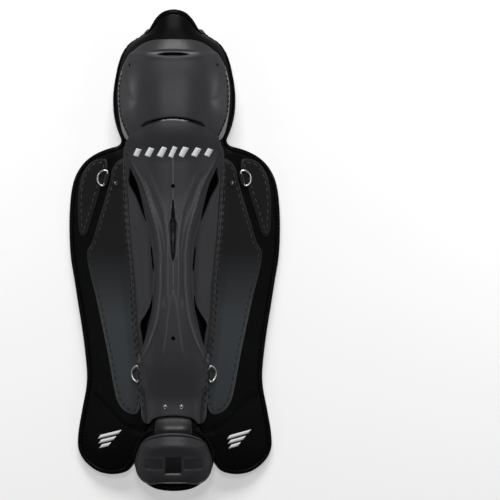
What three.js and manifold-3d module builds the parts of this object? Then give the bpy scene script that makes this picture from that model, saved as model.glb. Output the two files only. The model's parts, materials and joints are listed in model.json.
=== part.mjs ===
// Umpire leg guard for one leg, lying on its back: millimetres, +Z up, knee towards +Y, foot towards -Y.
// The pad is a flat pattern bent over one form. A place on it is (u, v): u runs across the bent
// surface from the middle, v along the guard, and lift is the height along the surface's normal.
import * as THREE from 'three';
import { mergeVertices } from 'three/addons/utils/BufferGeometryUtils.js';
import Module from 'manifold-3d';

const wasm = await Module();
wasm.setup();

// Overall sizes
const GUARD_LENGTH = 602;
const WING_SPAN = 268;
const CROWN_RISE = 66;
// Soft parts
const PAD_THICKNESS = 9;
const BINDING_WIDTH = 5.5;
const BINDING_TAPE = 1.2;
const BINDING_ROUND = 0.3;
const LINER_THICKNESS = 11;
const LINER_EASE = 2.5;
const FOOT_PAD_THICKNESS = 8;
const FOOT_NECK_THICKNESS = 4;
// Sewn panels
const PANEL_THICKNESS = 2;
const PANEL_EASE = 0.5;
// Hard shells
const SHELL_WALL = 2.6;
const CAP_DOME = 12;
const SHIN_STEP = 5.5;
const SHIN_SPINE = 5;
const SHIN_TOP_FLARE = 6;
const FOOT_SHELL_DOME = 3;
const TONGUE_WIDTH = 43;
const TONGUE_WALL = 2.2;
const VENT_DIAMETER = 5;
// Hardware
const RING_WIRE = 2.4;
const RING_LENGTH = 22;
const RING_DEPTH = 13;
const TAB_WALL = 0.9;
const RIVET_DIAMETER = 6;
const RIVET_HEIGHT = 1.8;
// Clearances
const SEAT = 0.4;
const BINDING_GAP = 1.1;

const HALF_LENGTH = GUARD_LENGTH / 2;
const HALF_SPAN = WING_SPAN / 2;

// Faceting
const CELL_ACROSS = 11;
const CELL_ALONG = 26;
const SHELL_CELL_ALONG = 16;
const FOOT_CELL_ALONG = 6.5;
const WIRE_SIDES = 5;
const RIVET_SIDES = 10;
const CURVE_TOLERANCE = 0.35;
const LONGEST_CHORD = 22;

// The form's cross-sections. at and rise are shares of half the length and of the crown's rise;
// flat, bend, hold and hinge are arc lengths as shares of half the span, counted from the middle;
// steep and wing are the slopes, in degrees, after the bend and after the hinge.
const SECTIONS = [
  { at: -1.00, rise: 0.70, flat: 0.06, bend: 0.22, steep: 34, hold: 0.060, hinge: 0.10, wing: 17.0 },
  { at: -0.80, rise: 0.74, flat: 0.06, bend: 0.22, steep: 34, hold: 0.060, hinge: 0.10, wing: 17.0 },
  { at: -0.55, rise: 0.79, flat: 0.06, bend: 0.235, steep: 35, hold: 0.065, hinge: 0.10, wing: 17.5 },
  { at: -0.33, rise: 0.84, flat: 0.065, bend: 0.265, steep: 37, hold: 0.088, hinge: 0.10, wing: 18.0 },
  { at: -0.07, rise: 0.88, flat: 0.075, bend: 0.295, steep: 38, hold: 0.118, hinge: 0.10, wing: 18.0 },
  { at: 0.30, rise: 0.91, flat: 0.075, bend: 0.295, steep: 38, hold: 0.118, hinge: 0.10, wing: 18.0 },
  { at: 0.415, rise: 0.94, flat: 0.075, bend: 0.355, steep: 40, hold: 0.10, hinge: 0.10, wing: 24.0 },
  { at: 0.50, rise: 0.98, flat: 0.075, bend: 0.46, steep: 46, hold: 0.075, hinge: 0.10, wing: 40.0 },
  { at: 0.60, rise: 1.00, flat: 0.075, bend: 0.53, steep: 53, hold: 0.03, hinge: 0.10, wing: 53.0 },
  { at: 0.70, rise: 1.00, flat: 0.075, bend: 0.53, steep: 57, hold: 0.03, hinge: 0.10, wing: 57.0 },
  { at: 0.80, rise: 0.97, flat: 0.06, bend: 0.56, steep: 66, hold: 0.03, hinge: 0.10, wing: 66.0 },
  { at: 0.86, rise: 0.925, flat: 0.04, bend: 0.53, steep: 76, hold: 0.03, hinge: 0.10, wing: 76.0 },
  { at: 0.915, rise: 0.88, flat: 0.015, bend: 0.315, steep: 78, hold: 0.03, hinge: 0.10, wing: 78.0 },
  { at: 1.00, rise: 0.79, flat: 0.015, bend: 0.295, steep: 70, hold: 0.03, hinge: 0.10, wing: 70.0 },
];

const smooth = (from, to, value) => THREE.MathUtils.smoothstep(value, from, to);
const offAxis = (half) => half.filter(([x]) => x > 0);
const mirrored = (half) => [...half, ...offAxis(half).reverse().map(([x, y]) => [-x, y])];

/** A value of one column of a table at a place, eased through its rows by a cubic. */
function readTable(rows, column, at) {
  let i = 1;
  while (i < rows.length - 1 && at > rows[i].at) i += 1;
  const from = rows[i - 1];
  const to = rows[i];
  const span = to.at - from.at;
  const t = THREE.MathUtils.clamp((at - from.at) / span, 0, 1);
  const slope = (k) => {
    if (k <= 0 || k >= rows.length - 1) return 0;
    return (rows[k + 1][column] - rows[k - 1][column]) / (rows[k + 1].at - rows[k - 1].at);
  };
  const t2 = t * t;
  const t3 = t2 * t;
  return (2 * t3 - 3 * t2 + 1) * from[column] + (t3 - 2 * t2 + t) * slope(i - 1) * span
    + (3 * t2 - 2 * t3) * to[column] + (t3 - t2) * slope(i) * span;
}

/** Where the form's face lies, u across and v along: sideways reach, height and slope. */
function bent(u, v) {
  const column = (name) => readTable(SECTIONS, name, v / HALF_LENGTH);
  const steep = THREE.MathUtils.degToRad(column('steep'));
  const wing = THREE.MathUtils.degToRad(column('wing'));
  const runs = [
    { reach: column('flat') * HALF_SPAN, slope: 0 },
    { reach: column('bend') * HALF_SPAN, slope: steep },
    { reach: column('hold') * HALF_SPAN, slope: steep },
    { reach: column('hinge') * HALF_SPAN, slope: wing },
    { reach: Infinity, slope: wing },
  ];
  let left = Math.abs(u);
  let x = 0;
  let drop = 0;
  let angle = 0;
  for (const run of runs) {
    const step = Math.min(left, run.reach);
    const turn = run.reach === Infinity ? 0 : (run.slope - angle) * (step / run.reach);
    if (Math.abs(turn) < 1e-9) {
      x += step * Math.cos(angle);
      drop += step * Math.sin(angle);
    } else {
      const radius = step / turn;
      x += radius * (Math.sin(angle + turn) - Math.sin(angle));
      drop += radius * (Math.cos(angle) - Math.cos(angle + turn));
    }
    angle += turn;
    left -= step;
    if (left <= 0) break;
  }
  return { x: Math.sign(u) * x, z: column('rise') * CROWN_RISE - drop, angle };
}

/** The arc distance u of a point seen from the front at x, on a layer lifted off the form. */
function across(x, v, lift = 0) {
  let u = Math.abs(x);
  for (let i = 0; i < 24; i += 1) {
    const place = bent(u, v);
    u += (Math.abs(x) - place.x - lift * Math.sin(place.angle)) / Math.max(0.3, Math.cos(place.angle));
  }
  return Math.sign(x) * u;
}

function facePoint(u, v) {
  const place = bent(u, v);
  return new THREE.Vector3(place.x, v, place.z);
}

/** The form's normal at (u, v). */
function faceNormal(u, v) {
  const step = 0.5;
  const along = facePoint(u, v + step).sub(facePoint(u, v - step));
  const sideways = facePoint(u + step, v).sub(facePoint(u - step, v));
  return sideways.cross(along).normalize();
}

const onForm = (u, v, lift) => facePoint(u, v).addScaledVector(faceNormal(u, v), lift);

/** Merges corners and drops triangles that have collapsed. */
function tidied(geometry) {
  geometry.deleteAttribute('normal');
  geometry.deleteAttribute('uv');
  const merged = mergeVertices(geometry, 1e-4);
  const { array } = merged.index;
  const kept = [];
  for (let i = 0; i < array.length; i += 3) {
    const [a, b, c] = [array[i], array[i + 1], array[i + 2]];
    if (a !== b && b !== c && c !== a) kept.push(a, b, c);
  }
  merged.setIndex(kept);
  return merged;
}

function toSolid(geometry) {
  const merged = tidied(geometry);
  return new wasm.Manifold(new wasm.Mesh({
    numProp: 3,
    vertProperties: Float32Array.from(merged.attributes.position.array),
    triVerts: Uint32Array.from(merged.index.array),
  }));
}

function fromTriangles(points, triangles) {
  const geometry = new THREE.BufferGeometry();
  geometry.setAttribute('position', new THREE.Float32BufferAttribute(points.flatMap((p) => [p.x, p.y, p.z]), 3));
  geometry.setIndex(triangles);
  geometry.computeVertexNormals();
  return geometry;
}

// While a sheet is cut it is bowed a little, so that its flat cells stay apart.
const CUTTING_BOW = 1e-4;
const bow = (u, v) => CUTTING_BOW * (u * u + v * v);

/** A flat grid of cells between two height functions, over a box in (u, v). */
function gridSlab(box, low, high, cellAlong) {
  const from = { i: Math.floor(box.min.x / CELL_ACROSS) - 1, j: Math.floor(box.min.y / cellAlong) - 1 };
  const to = { i: Math.ceil(box.max.x / CELL_ACROSS) + 1, j: Math.ceil(box.max.y / cellAlong) + 1 };
  const columns = to.i - from.i + 1;
  const rows = to.j - from.j + 1;
  const points = [];
  for (const height of [low, high]) {
    for (let j = 0; j < rows; j += 1) {
      for (let i = 0; i < columns; i += 1) {
        const u = (from.i + i) * CELL_ACROSS;
        const v = (from.j + j) * cellAlong;
        points.push(new THREE.Vector3(u, v, height(u, v) + bow(u, v)));
      }
    }
  }
  const top = rows * columns;
  const triangles = [];
  const quad = (a, b, c, d) => triangles.push(a, b, c, a, c, d);
  for (let j = 0; j < rows - 1; j += 1) {
    for (let i = 0; i < columns - 1; i += 1) {
      const a = j * columns + i;
      const [b, c, d] = [a + 1, a + 1 + columns, a + columns];
      quad(a + top, b + top, c + top, d + top);
      triangles.push(a, c, b, a, d, c);
    }
  }
  for (let i = 0; i < columns - 1; i += 1) {
    const far = (rows - 1) * columns + i;
    quad(i, i + 1, i + 1 + top, i + top);
    quad(far + 1, far, far + top, far + 1 + top);
  }
  for (let j = 0; j < rows - 1; j += 1) {
    const near = j * columns;
    const end = near + columns - 1;
    quad(near + columns, near, near + top, near + columns + top);
    quad(end, end + columns, end + columns + top, end + top);
  }
  return fromTriangles(points, triangles);
}

const PRISM_REACH = 400;

/** A tall straight prism over a flat outline. */
function prism(outline) {
  const shape = new THREE.Shape(outline.map(([x, y]) => new THREE.Vector2(x, y)));
  const geometry = new THREE.ExtrudeGeometry(shape, { depth: 2 * PRISM_REACH, bevelEnabled: false });
  geometry.translate(0, 0, -PRISM_REACH);
  return toSolid(geometry);
}

/** A sheet cut to an outline and its holes on the flat pattern, then bent over the form. */
function sheet({ outline, holes = [], low, high, cellAlong = CELL_ALONG }) {
  const box = new THREE.Box2().setFromPoints(outline.map(([x, y]) => new THREE.Vector2(x, y)));
  let cut = toSolid(gridSlab(box, low, high, cellAlong)).intersect(prism(outline));
  for (const hole of holes) cut = cut.subtract(prism(hole));
  const mesh = cut.getMesh();
  const points = [];
  for (let i = 0; i < mesh.vertProperties.length; i += mesh.numProp) {
    const [u, v, w] = mesh.vertProperties.slice(i, i + 3);
    points.push(onForm(u, v, w - bow(u, v)));
  }
  return fromTriangles(points, Array.from(mesh.triVerts));
}

/** How far a place on the form lies from the straight chord between two others. */
function offChord(from, to, place) {
  const chord = new THREE.Line3(onForm(...from, 0), onForm(...to, 0));
  const point = onForm(...place, 0);
  return chord.closestPointToPoint(point, true, new THREE.Vector3()).distanceTo(point);
}

/** Drops the points of a line on the form that lie within a tolerance of the chord past them. */
function thinned(points) {
  const kept = [0];
  let start = 0;
  for (let end = 2; end < points.length; end += 1) {
    const inside = points.slice(start + 1, end);
    const strays = inside.some((p) => offChord(points[start], points[end], p) > CURVE_TOLERANCE);
    const reach = Math.hypot(points[end][0] - points[start][0], points[end][1] - points[start][1]);
    if (strays || reach > LONGEST_CHORD) {
      start = end - 1;
      kept.push(start);
    }
  }
  return kept.map((i) => points[i]);
}

/** The fine points of a smooth closed line. */
function smoothLine(points) {
  const curve = new THREE.CatmullRomCurve3(points.map(([x, y]) => new THREE.Vector3(x, y, 0)), true, 'centripetal');
  return curve.getSpacedPoints(points.length * 16).slice(0, -1).map((p) => [p.x, p.y]);
}

/** A smooth closed outline through points, as few chords as its bends need. */
const curved = (points) => thinned(smoothLine(points));

/** The same for the right half of a symmetric outline, from its top to its bottom on the axis. */
function curvedPair(half) {
  const right = smoothLine(mirrored(half)).filter(([x]) => x > CURVE_TOLERANCE);
  const bottom = half.at(-1);
  return mirrored([...thinned([half[0], ...right, bottom]), bottom]);
}

/** Moves each point of a counterclockwise or clockwise outline inwards by a distance. */
function inset(outline, distance) {
  const count = outline.length;
  const turn = Math.sign(THREE.ShapeUtils.area(outline.map(([x, y]) => new THREE.Vector2(x, y))));
  return outline.map(([x, y], i) => {
    const before = new THREE.Vector2(...outline[(i + count - 1) % count]);
    const after = new THREE.Vector2(...outline[(i + 1) % count]);
    const here = new THREE.Vector2(x, y);
    const first = here.clone().sub(before).normalize();
    const second = after.clone().sub(here).normalize();
    const middle = first.clone().add(second).normalize();
    const stretch = distance / Math.max(0.5, middle.dot(first));
    return [x - turn * middle.y * stretch, y + turn * middle.x * stretch];
  });
}

/** Front-view points, in shares of half the span and half the length, laid on the form. */
function laid(shares, lift = 0) {
  return shares.map(([x, y]) => [across(x * HALF_SPAN, y * HALF_LENGTH, lift), y * HALF_LENGTH]);
}

/** Front-view points, in the same shares, laid where a piece's front face shows them. */
function laidOn(shares, front) {
  return shares.map(([x, y]) => {
    const v = y * HALF_LENGTH;
    let u = x * HALF_SPAN;
    for (let i = 0; i < 24; i += 1) u = (u + across(x * HALF_SPAN, v, front(u, v))) / 2;
    return [u, v];
  });
}

/** Joins rings of points, each with as many, into one closed hoop. */
function hoop(rings) {
  const sides = rings[0].length;
  const triangles = [];
  rings.forEach((ring, i) => {
    const next = ((i + 1) % rings.length) * sides;
    const here = i * sides;
    for (let k = 0; k < sides; k += 1) {
      const after = (k + 1) % sides;
      triangles.push(here + k, here + after, next + after, here + k, next + after, next + k);
    }
  });
  return fromTriangles(rings.flat(), triangles);
}

/** The bound edge round an outline: the bead of folded tape between its inner side and its rim. */
function binding(outline, low, high) {
  const count = outline.length;
  const turn = Math.sign(THREE.ShapeUtils.area(outline.map(([x, y]) => new THREE.Vector2(x, y))));
  const inner = inset(outline, BINDING_WIDTH);
  const shoulder = inset(outline, BINDING_WIDTH * BINDING_ROUND);
  const rings = [];
  const bottom = (p, rise = 0) => onForm(...p, low(...p) - BINDING_TAPE + rise);
  const top = (p, drop = 0) => onForm(...p, high(...p) + BINDING_TAPE - drop);
  for (let k = 0; k < count; k += 1) {
    const i = turn > 0 ? k : count - 1 - k;
    const waist = (high(...outline[i]) - low(...outline[i])) * BINDING_ROUND;
    rings.push([
      bottom(inner[i]), top(inner[i]), top(shoulder[i]),
      top(outline[i], waist), bottom(outline[i], waist), bottom(shoulder[i]),
    ]);
  }
  return hoop(rings);
}

const meshes = [];

const finishes = {
  shell: { color: 0x37383c, roughness: 0.45, metalness: 0 },
  panel: { color: 0x2b2c30, roughness: 0.4, metalness: 0 },
  vinyl: { color: 0x141416, roughness: 0.35, metalness: 0 },
  tape: { color: 0x0d0d0e, roughness: 0.3, metalness: 0 },
  liner: { color: 0x1a1a1c, roughness: 0.9, metalness: 0 },
  chrome: { color: 0xd9dadc, roughness: 0.12, metalness: 1 },
  rivet: { color: 0x8d8f94, roughness: 0.35, metalness: 1 },
};

/** Names a mesh, gives it its own material, and places it by a matrix where it has one. */
function add(name, geometry, finish, placing) {
  const mesh = new THREE.Mesh(tidied(geometry), new THREE.MeshStandardMaterial(finishes[finish]));
  mesh.name = name;
  if (placing) mesh.applyMatrix4(placing);
  meshes.push(mesh);
}

// The pad: a flat pattern with a knee bump, two side ears, wings, lower lobes and an arch for the foot
const PAD_PATTERN = [
  [0.000, 1.000], [0.060, 0.997], [0.120, 0.988], [0.185, 0.968], [0.245, 0.945], [0.300, 0.928],
  [0.345, 0.920], [0.395, 0.924], [0.460, 0.929], [0.525, 0.916], [0.580, 0.885], [0.620, 0.838],
  [0.655, 0.780], [0.684, 0.710], [0.690, 0.640], [0.667, 0.570], [0.616, 0.510], [0.574, 0.475],
  [0.555, 0.455], [0.590, 0.438], [0.680, 0.428], [0.770, 0.416], [0.855, 0.398], [0.935, 0.370],
  [1.010, 0.322], [1.050, 0.270], [1.075, 0.180], [1.082, 0.080], [1.070, -0.030], [1.030, -0.130],
  [0.990, -0.230], [0.948, -0.330], [0.912, -0.430], [0.890, -0.520], [0.895, -0.575], [0.935, -0.670],
  [0.973, -0.770], [0.975, -0.830], [0.940, -0.870], [0.870, -0.905], [0.780, -0.930], [0.680, -0.941],
  [0.570, -0.939], [0.480, -0.925], [0.425, -0.897], [0.380, -0.855], [0.320, -0.800], [0.265, -0.755],
  [0.220, -0.722], [0.150, -0.703], [0.000, -0.697],
];
const flatPattern = (shares) => shares.map(([u, v]) => [u * HALF_SPAN, v * HALF_LENGTH]);
const padOutline = curvedPair(flatPattern(PAD_PATTERN));
const padBack = () => -PAD_THICKNESS;
const padFront = () => 0;
add('main_pad', sheet({
  outline: inset(padOutline, BINDING_WIDTH + BINDING_GAP),
  low: padBack,
  high: padFront,
}), 'vinyl');
add('main_binding', binding(padOutline, padBack, padFront), 'tape');

// The cushion against the leg: a wide knee part and a long tail
const LINER_PATTERN = [
  [0.000, 0.886], [0.120, 0.884], [0.240, 0.872], [0.360, 0.847], [0.450, 0.810], [0.515, 0.755],
  [0.548, 0.690], [0.552, 0.620], [0.520, 0.555], [0.455, 0.505], [0.395, 0.460], [0.355, 0.410],
  [0.335, 0.340], [0.320, 0.210], [0.290, 0.020], [0.255, -0.180], [0.230, -0.370], [0.215, -0.540],
  [0.185, -0.610], [0.110, -0.645], [0.000, -0.652],
];
const linerFront = (u, v) => -PAD_THICKNESS - 2 * SEAT - LINER_EASE * smooth(0.7, 0.86, v / HALF_LENGTH);
const linerBack = (u, v) => linerFront(u, v) - LINER_THICKNESS;
add('leg_liner', sheet({ outline: curvedPair(flatPattern(LINER_PATTERN)), low: linerBack, high: linerFront }), 'liner');

// The sewn panels of one side, as seen from the front
const panelBack = (u, v) => SEAT + PANEL_EASE * smooth(0.24, 0.36, v / HALF_LENGTH);
const panelFront = (u, v) => panelBack(u, v) + PANEL_THICKNESS;
const FIN_OUTLINE = [
  [0.644, 0.376], [0.700, 0.380], [0.775, 0.370], [0.838, 0.340], [0.886, 0.290], [0.908, 0.222],
  [0.908, 0.140], [0.894, 0.074], [0.866, 0.058], [0.835, 0.067], [0.799, 0.116], [0.759, 0.172],
  [0.714, 0.238], [0.668, 0.300], [0.630, 0.348],
];
const WING_OUTLINE = [
  [0.478, 0.382], [0.540, 0.365], [0.580, 0.334], [0.614, 0.270], [0.655, 0.205], [0.715, 0.120],
  [0.778, 0.030], [0.822, -0.005], [0.815, -0.056], [0.782, -0.120], [0.745, -0.182], [0.708, -0.256],
  [0.675, -0.325], [0.632, -0.415], [0.590, -0.515], [0.570, -0.565], [0.528, -0.635], [0.460, -0.672],
  [0.370, -0.683], [0.330, -0.660], [0.300, -0.560], [0.330, -0.400], [0.370, -0.200], [0.395, -0.020],
  [0.425, 0.150], [0.432, 0.300], [0.440, 0.365],
];
for (const [side, name] of [[-1, 'left'], [1, 'right']]) {
  const sided = (outline) => outline.map(([x, y]) => [side * x, y]);
  for (const [piece, outline] of [['fin_panel', FIN_OUTLINE], ['wing_panel', WING_OUTLINE]]) {
    const flat = curved(laid(sided(outline), SEAT + PANEL_THICKNESS));
    add(`${piece}_${name}`, sheet({ outline: flat, low: panelBack, high: panelFront }), 'panel');
  }
}

// The knee cap: a dome whose lower end runs under the shin shell
const CAP_OUTLINE = [
  [0.000, 0.868], [0.110, 0.866], [0.205, 0.862], [0.300, 0.846], [0.385, 0.818], [0.433, 0.791],
  [0.462, 0.768], [0.492, 0.740], [0.511, 0.705], [0.519, 0.665], [0.520, 0.618], [0.514, 0.574],
  [0.497, 0.526], [0.467, 0.480], [0.435, 0.460], [0.350, 0.454], [0.180, 0.451], [0.000, 0.450],
];
const CAP_MIDDLE = 0.665 * HALF_LENGTH;
const CAP_REACH_UP = 0.225 * HALF_LENGTH;
const CAP_REACH_DOWN = 0.32 * HALF_LENGTH;
const CAP_HALF_ARC = 0.58 * HALF_SPAN;
function capBack(u, v) {
  const reach = v > CAP_MIDDLE ? CAP_REACH_UP : CAP_REACH_DOWN;
  const spread = Math.hypot(u / CAP_HALF_ARC, (v - CAP_MIDDLE) / reach);
  return SEAT + CAP_DOME * Math.sqrt(Math.max(0, 1 - Math.min(1, spread) ** 2.2)) ** 1.4;
}
const capFront = (u, v) => capBack(u, v) + SHELL_WALL;
const CAP_SLIT = [[0.00, 0.812], [0.135, 0.806], [0.152, 0.801], [0.135, 0.796], [0.00, 0.794]];
const capSlit = laid(mirrored(CAP_SLIT), CAP_DOME);
const capVents = [-1, 1].map((side) => vent(side * 0.395, 0.762, capFront, [1.1, 0.8]));
add('knee_cap', sheet({
  outline: curvedPair(laid(CAP_OUTLINE, SHELL_WALL)),
  holes: [capSlit, ...capVents],
  low: capBack,
  high: capFront,
  cellAlong: SHELL_CELL_ALONG,
}), 'shell');

/** A small round or oval hole seen from the front at shares of half the span and half the length. */
function vent(x, y, height, stretch = [1, 1]) {
  const v = y * HALF_LENGTH;
  const u = across(x * HALF_SPAN, v, height(x * HALF_SPAN, v));
  return Array.from({ length: 10 }, (_, k) => {
    const turn = (k / 10) * 2 * Math.PI;
    const radius = VENT_DIAMETER / 2;
    return [u + stretch[0] * radius * Math.cos(turn), v + stretch[1] * radius * Math.sin(turn)];
  });
}

// The shin shell's half-widths, its raised middle's half-widths and the flange beside it
const SHIN_OUTLINE = [
  [0.000, 0.536], [0.130, 0.530], [0.265, 0.512], [0.370, 0.488], [0.430, 0.462], [0.462, 0.430],
  [0.472, 0.370], [0.468, 0.300], [0.455, 0.220], [0.446, 0.150], [0.432, 0.060], [0.414, -0.035],
  [0.396, -0.135], [0.380, -0.235], [0.362, -0.350], [0.335, -0.450], [0.318, -0.550], [0.306, -0.650],
  [0.298, -0.695], [0.270, -0.718], [0.230, -0.716], [0.195, -0.700], [0.150, -0.690], [0.000, -0.682],
];
const SHIN_WIDTHS = [
  { at: -0.72, edge: 0.298, spine: 0.262 },
  { at: -0.45, edge: 0.345, spine: 0.312 },
  { at: -0.29, edge: 0.377, spine: 0.200 },
  { at: -0.15, edge: 0.396, spine: 0.162 },
  { at: 0.02, edge: 0.428, spine: 0.165 },
  { at: 0.17, edge: 0.452, spine: 0.245 },
  { at: 0.27, edge: 0.468, spine: 0.312 },
  { at: 0.37, edge: 0.475, spine: 0.405 },
  { at: 0.53, edge: 0.475, spine: 0.425 },
];
const FLANGE_WIDTH = 4.7;
const STEP_RUN = 6.7;
const SPINE_RUN = 5.4;
const LOWER_RING_Y = -0.515;

/** The shin shell's flare over the knee cap. */
const shinFlare = (y) => SHIN_TOP_FLARE * smooth(0.36, 0.52, y) + SHELL_WALL * smooth(0.18, 0.38, y);

/** Where the step runs out to the rim, to bridge the lower rings: 1 over them, 0 elsewhere. */
const overRing = (y) => 1 - smooth(0.05, 0.09, Math.abs(y - LOWER_RING_Y));

/** The arc distance of a half-width of the table, on a layer lifted off the form. */
const shinArc = (column, v, lift) => across(readTable(SHIN_WIDTHS, column, v / HALF_LENGTH) * HALF_SPAN, v, lift);

/** The inner face of the shin shell: flange, step, raised spine and the flare over the knee cap. */
function shinBack(u, v) {
  const y = v / HALF_LENGTH;
  const x = Math.abs(bent(u, v).x) / HALF_SPAN;
  const flange = PANEL_THICKNESS + 2 * SEAT + shinFlare(y);
  const rim = shinArc('edge', v, flange + SHIN_STEP * overRing(y) + SHELL_WALL);
  const spine = shinArc('spine', v, flange + SHIN_STEP + SHIN_SPINE + SHELL_WALL);
  const beside = smooth(FLANGE_WIDTH, FLANGE_WIDTH + STEP_RUN, rim - Math.abs(u));
  const step = SHIN_STEP * Math.max(beside, overRing(y));
  const raised = SHIN_SPINE * beside * smooth(-0.66, -0.45, y);
  const crest = raised * (1 - smooth(spine - SPINE_RUN, spine, Math.abs(u)));
  const lip = TONGUE_WALL * (1 - smooth(-0.7, -0.6, y)) * (1 - smooth(0.17, 0.25, x));
  return flange + step + crest + lip;
}
const shinFront = (u, v) => shinBack(u, v) + SHELL_WALL;

/** A tapering slot along a few centre points, each with its half-width, in front-view shares. */
function slot(side, rows) {
  const outer = rows.map((row) => [side * (row.x + row.half), row.y]);
  const inner = rows.slice(1, -1).reverse().map((row) => [side * (row.x - row.half), row.y]);
  return curved(laidOn([...outer, ...inner], shinFront));
}
const SLOTS = [
  [
    { x: 0.403, y: 0.338, half: 0 }, { x: 0.384, y: 0.282, half: 0.040 }, { x: 0.331, y: 0.218, half: 0.027 },
    { x: 0.291, y: 0.163, half: 0.016 }, { x: 0.257, y: 0.120, half: 0 },
  ],
  [
    { x: 0.206, y: 0.016, half: 0 }, { x: 0.203, y: -0.012, half: 0.0085 },
    { x: 0.193, y: -0.058, half: 0.0085 }, { x: 0.185, y: -0.087, half: 0 },
  ],
  [
    { x: 0.196, y: -0.183, half: 0 }, { x: 0.231, y: -0.258, half: 0.023 }, { x: 0.274, y: -0.308, half: 0.040 },
    { x: 0.278, y: -0.353, half: 0.022 }, { x: 0.285, y: -0.392, half: 0 },
  ],
];
const shinHoles = [vent(0, 0.264, shinFront), vent(0, -0.362, shinFront)];
for (const side of [-1, 1]) shinHoles.push(...SLOTS.map((rows) => slot(side, rows)));
add('shin_shell', sheet({
  outline: curvedPair(laidOn(SHIN_OUTLINE, shinFront)),
  holes: shinHoles,
  low: shinBack,
  high: shinFront,
  cellAlong: SHELL_CELL_ALONG,
}), 'shell');

// The foot pad hangs in the arch by its neck and lies over the pad's bound edge below it
const FOOT_SEAT = 2 * BINDING_TAPE + SEAT + FOOT_PAD_THICKNESS;
const NECK_FRONT = 1.4;
const footBlend = (v) => 1 - smooth(-0.75, -0.645, v / HALF_LENGTH);
const footFront = (u, v) => NECK_FRONT + (FOOT_SEAT - NECK_FRONT) * footBlend(v);
const footThickness = (v) => FOOT_NECK_THICKNESS + (FOOT_PAD_THICKNESS - FOOT_NECK_THICKNESS) * footBlend(v);
const footBack = (u, v) => footFront(u, v) - footThickness(v);
const FOOT_OUTLINE = [
  [0.000, -0.712], [0.080, -0.713], [0.130, -0.719], [0.180, -0.730], [0.236, -0.740], [0.289, -0.757],
  [0.332, -0.782], [0.361, -0.809], [0.378, -0.837], [0.382, -0.863], [0.374, -0.890], [0.356, -0.916],
  [0.322, -0.943], [0.257, -0.971], [0.166, -0.991], [0.000, -1.000],
];
const footOutline = curvedPair(laid(FOOT_OUTLINE, FOOT_SEAT));
add('foot_pad', sheet({
  outline: inset(footOutline, BINDING_WIDTH + BINDING_GAP),
  low: footBack,
  high: footFront,
  cellAlong: FOOT_CELL_ALONG,
}), 'vinyl');
add('foot_binding', binding(footOutline, footBack, footFront), 'tape');

// The tongue runs from under the shin shell, over the foot pad, to behind the foot shell
const tongueBack = (u, v) => footFront(u, v) + BINDING_TAPE + 2 * SEAT;
const tongueFront = (u, v) => tongueBack(u, v) + TONGUE_WALL;
const TONGUE_TOP = -0.625 * HALF_LENGTH;
const TONGUE_BOTTOM = -0.800 * HALF_LENGTH;
const TONGUE_CORNER = 5;
const tongueHalf = TONGUE_WIDTH / 2;
const tongueOutline = mirrored([
  [0, TONGUE_TOP], [tongueHalf, TONGUE_TOP], [tongueHalf, TONGUE_BOTTOM + TONGUE_CORNER],
  [tongueHalf - TONGUE_CORNER, TONGUE_BOTTOM], [0, TONGUE_BOTTOM],
]);
add('foot_tongue', sheet({
  outline: tongueOutline,
  low: tongueBack,
  high: tongueFront,
  cellAlong: FOOT_CELL_ALONG,
}), 'shell');

// The foot shell: seated on the foot pad, raised over the tongue
const FOOT_SHELL_OUTLINE = [
  [0.000, -0.7545], [0.080, -0.7555], [0.150, -0.7605], [0.224, -0.771], [0.2655, -0.7836], [0.300, -0.801],
  [0.330, -0.828], [0.350, -0.860], [0.356, -0.8915], [0.350, -0.916], [0.318, -0.944], [0.283, -0.959],
  [0.229, -0.970], [0.105, -0.965], [0.000, -0.965],
];
function footShellBack(u, v) {
  const y = v / HALF_LENGTH;
  const overTongue = (BINDING_TAPE + TONGUE_WALL + 2 * SEAT) * smooth(-0.86, -0.80, y);
  const spread = Math.hypot(u / (0.36 * HALF_SPAN), (y + 0.875) / 0.115);
  return footFront(u, v) + SEAT + BINDING_TAPE + overTongue + FOOT_SHELL_DOME * (1 - smooth(0.55, 1, spread));
}
const footShellFront = (u, v) => footShellBack(u, v) + SHELL_WALL;
add('foot_shell', sheet({
  outline: curvedPair(laidOn(FOOT_SHELL_OUTLINE, footShellFront)),
  low: footShellBack,
  high: footShellFront,
  cellAlong: SHELL_CELL_ALONG,
}), 'shell');

/** A frame on the form at front-view shares: X across, Y along, Z off the surface, then turned. */
function frameAt(x, y, lift, turn = 0, tip = 0) {
  const v = y * HALF_LENGTH;
  const u = across(x * HALF_SPAN, v, lift);
  const z = faceNormal(u, v);
  const along = new THREE.Vector3(0, 1, 0);
  const sideways = along.clone().cross(z).normalize();
  const matrix = new THREE.Matrix4().makeBasis(sideways, z.clone().cross(sideways), z);
  matrix.multiply(new THREE.Matrix4().makeRotationZ(turn));
  matrix.multiply(new THREE.Matrix4().makeRotationY(tip));
  return matrix.setPosition(onForm(u, v, lift));
}

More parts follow.
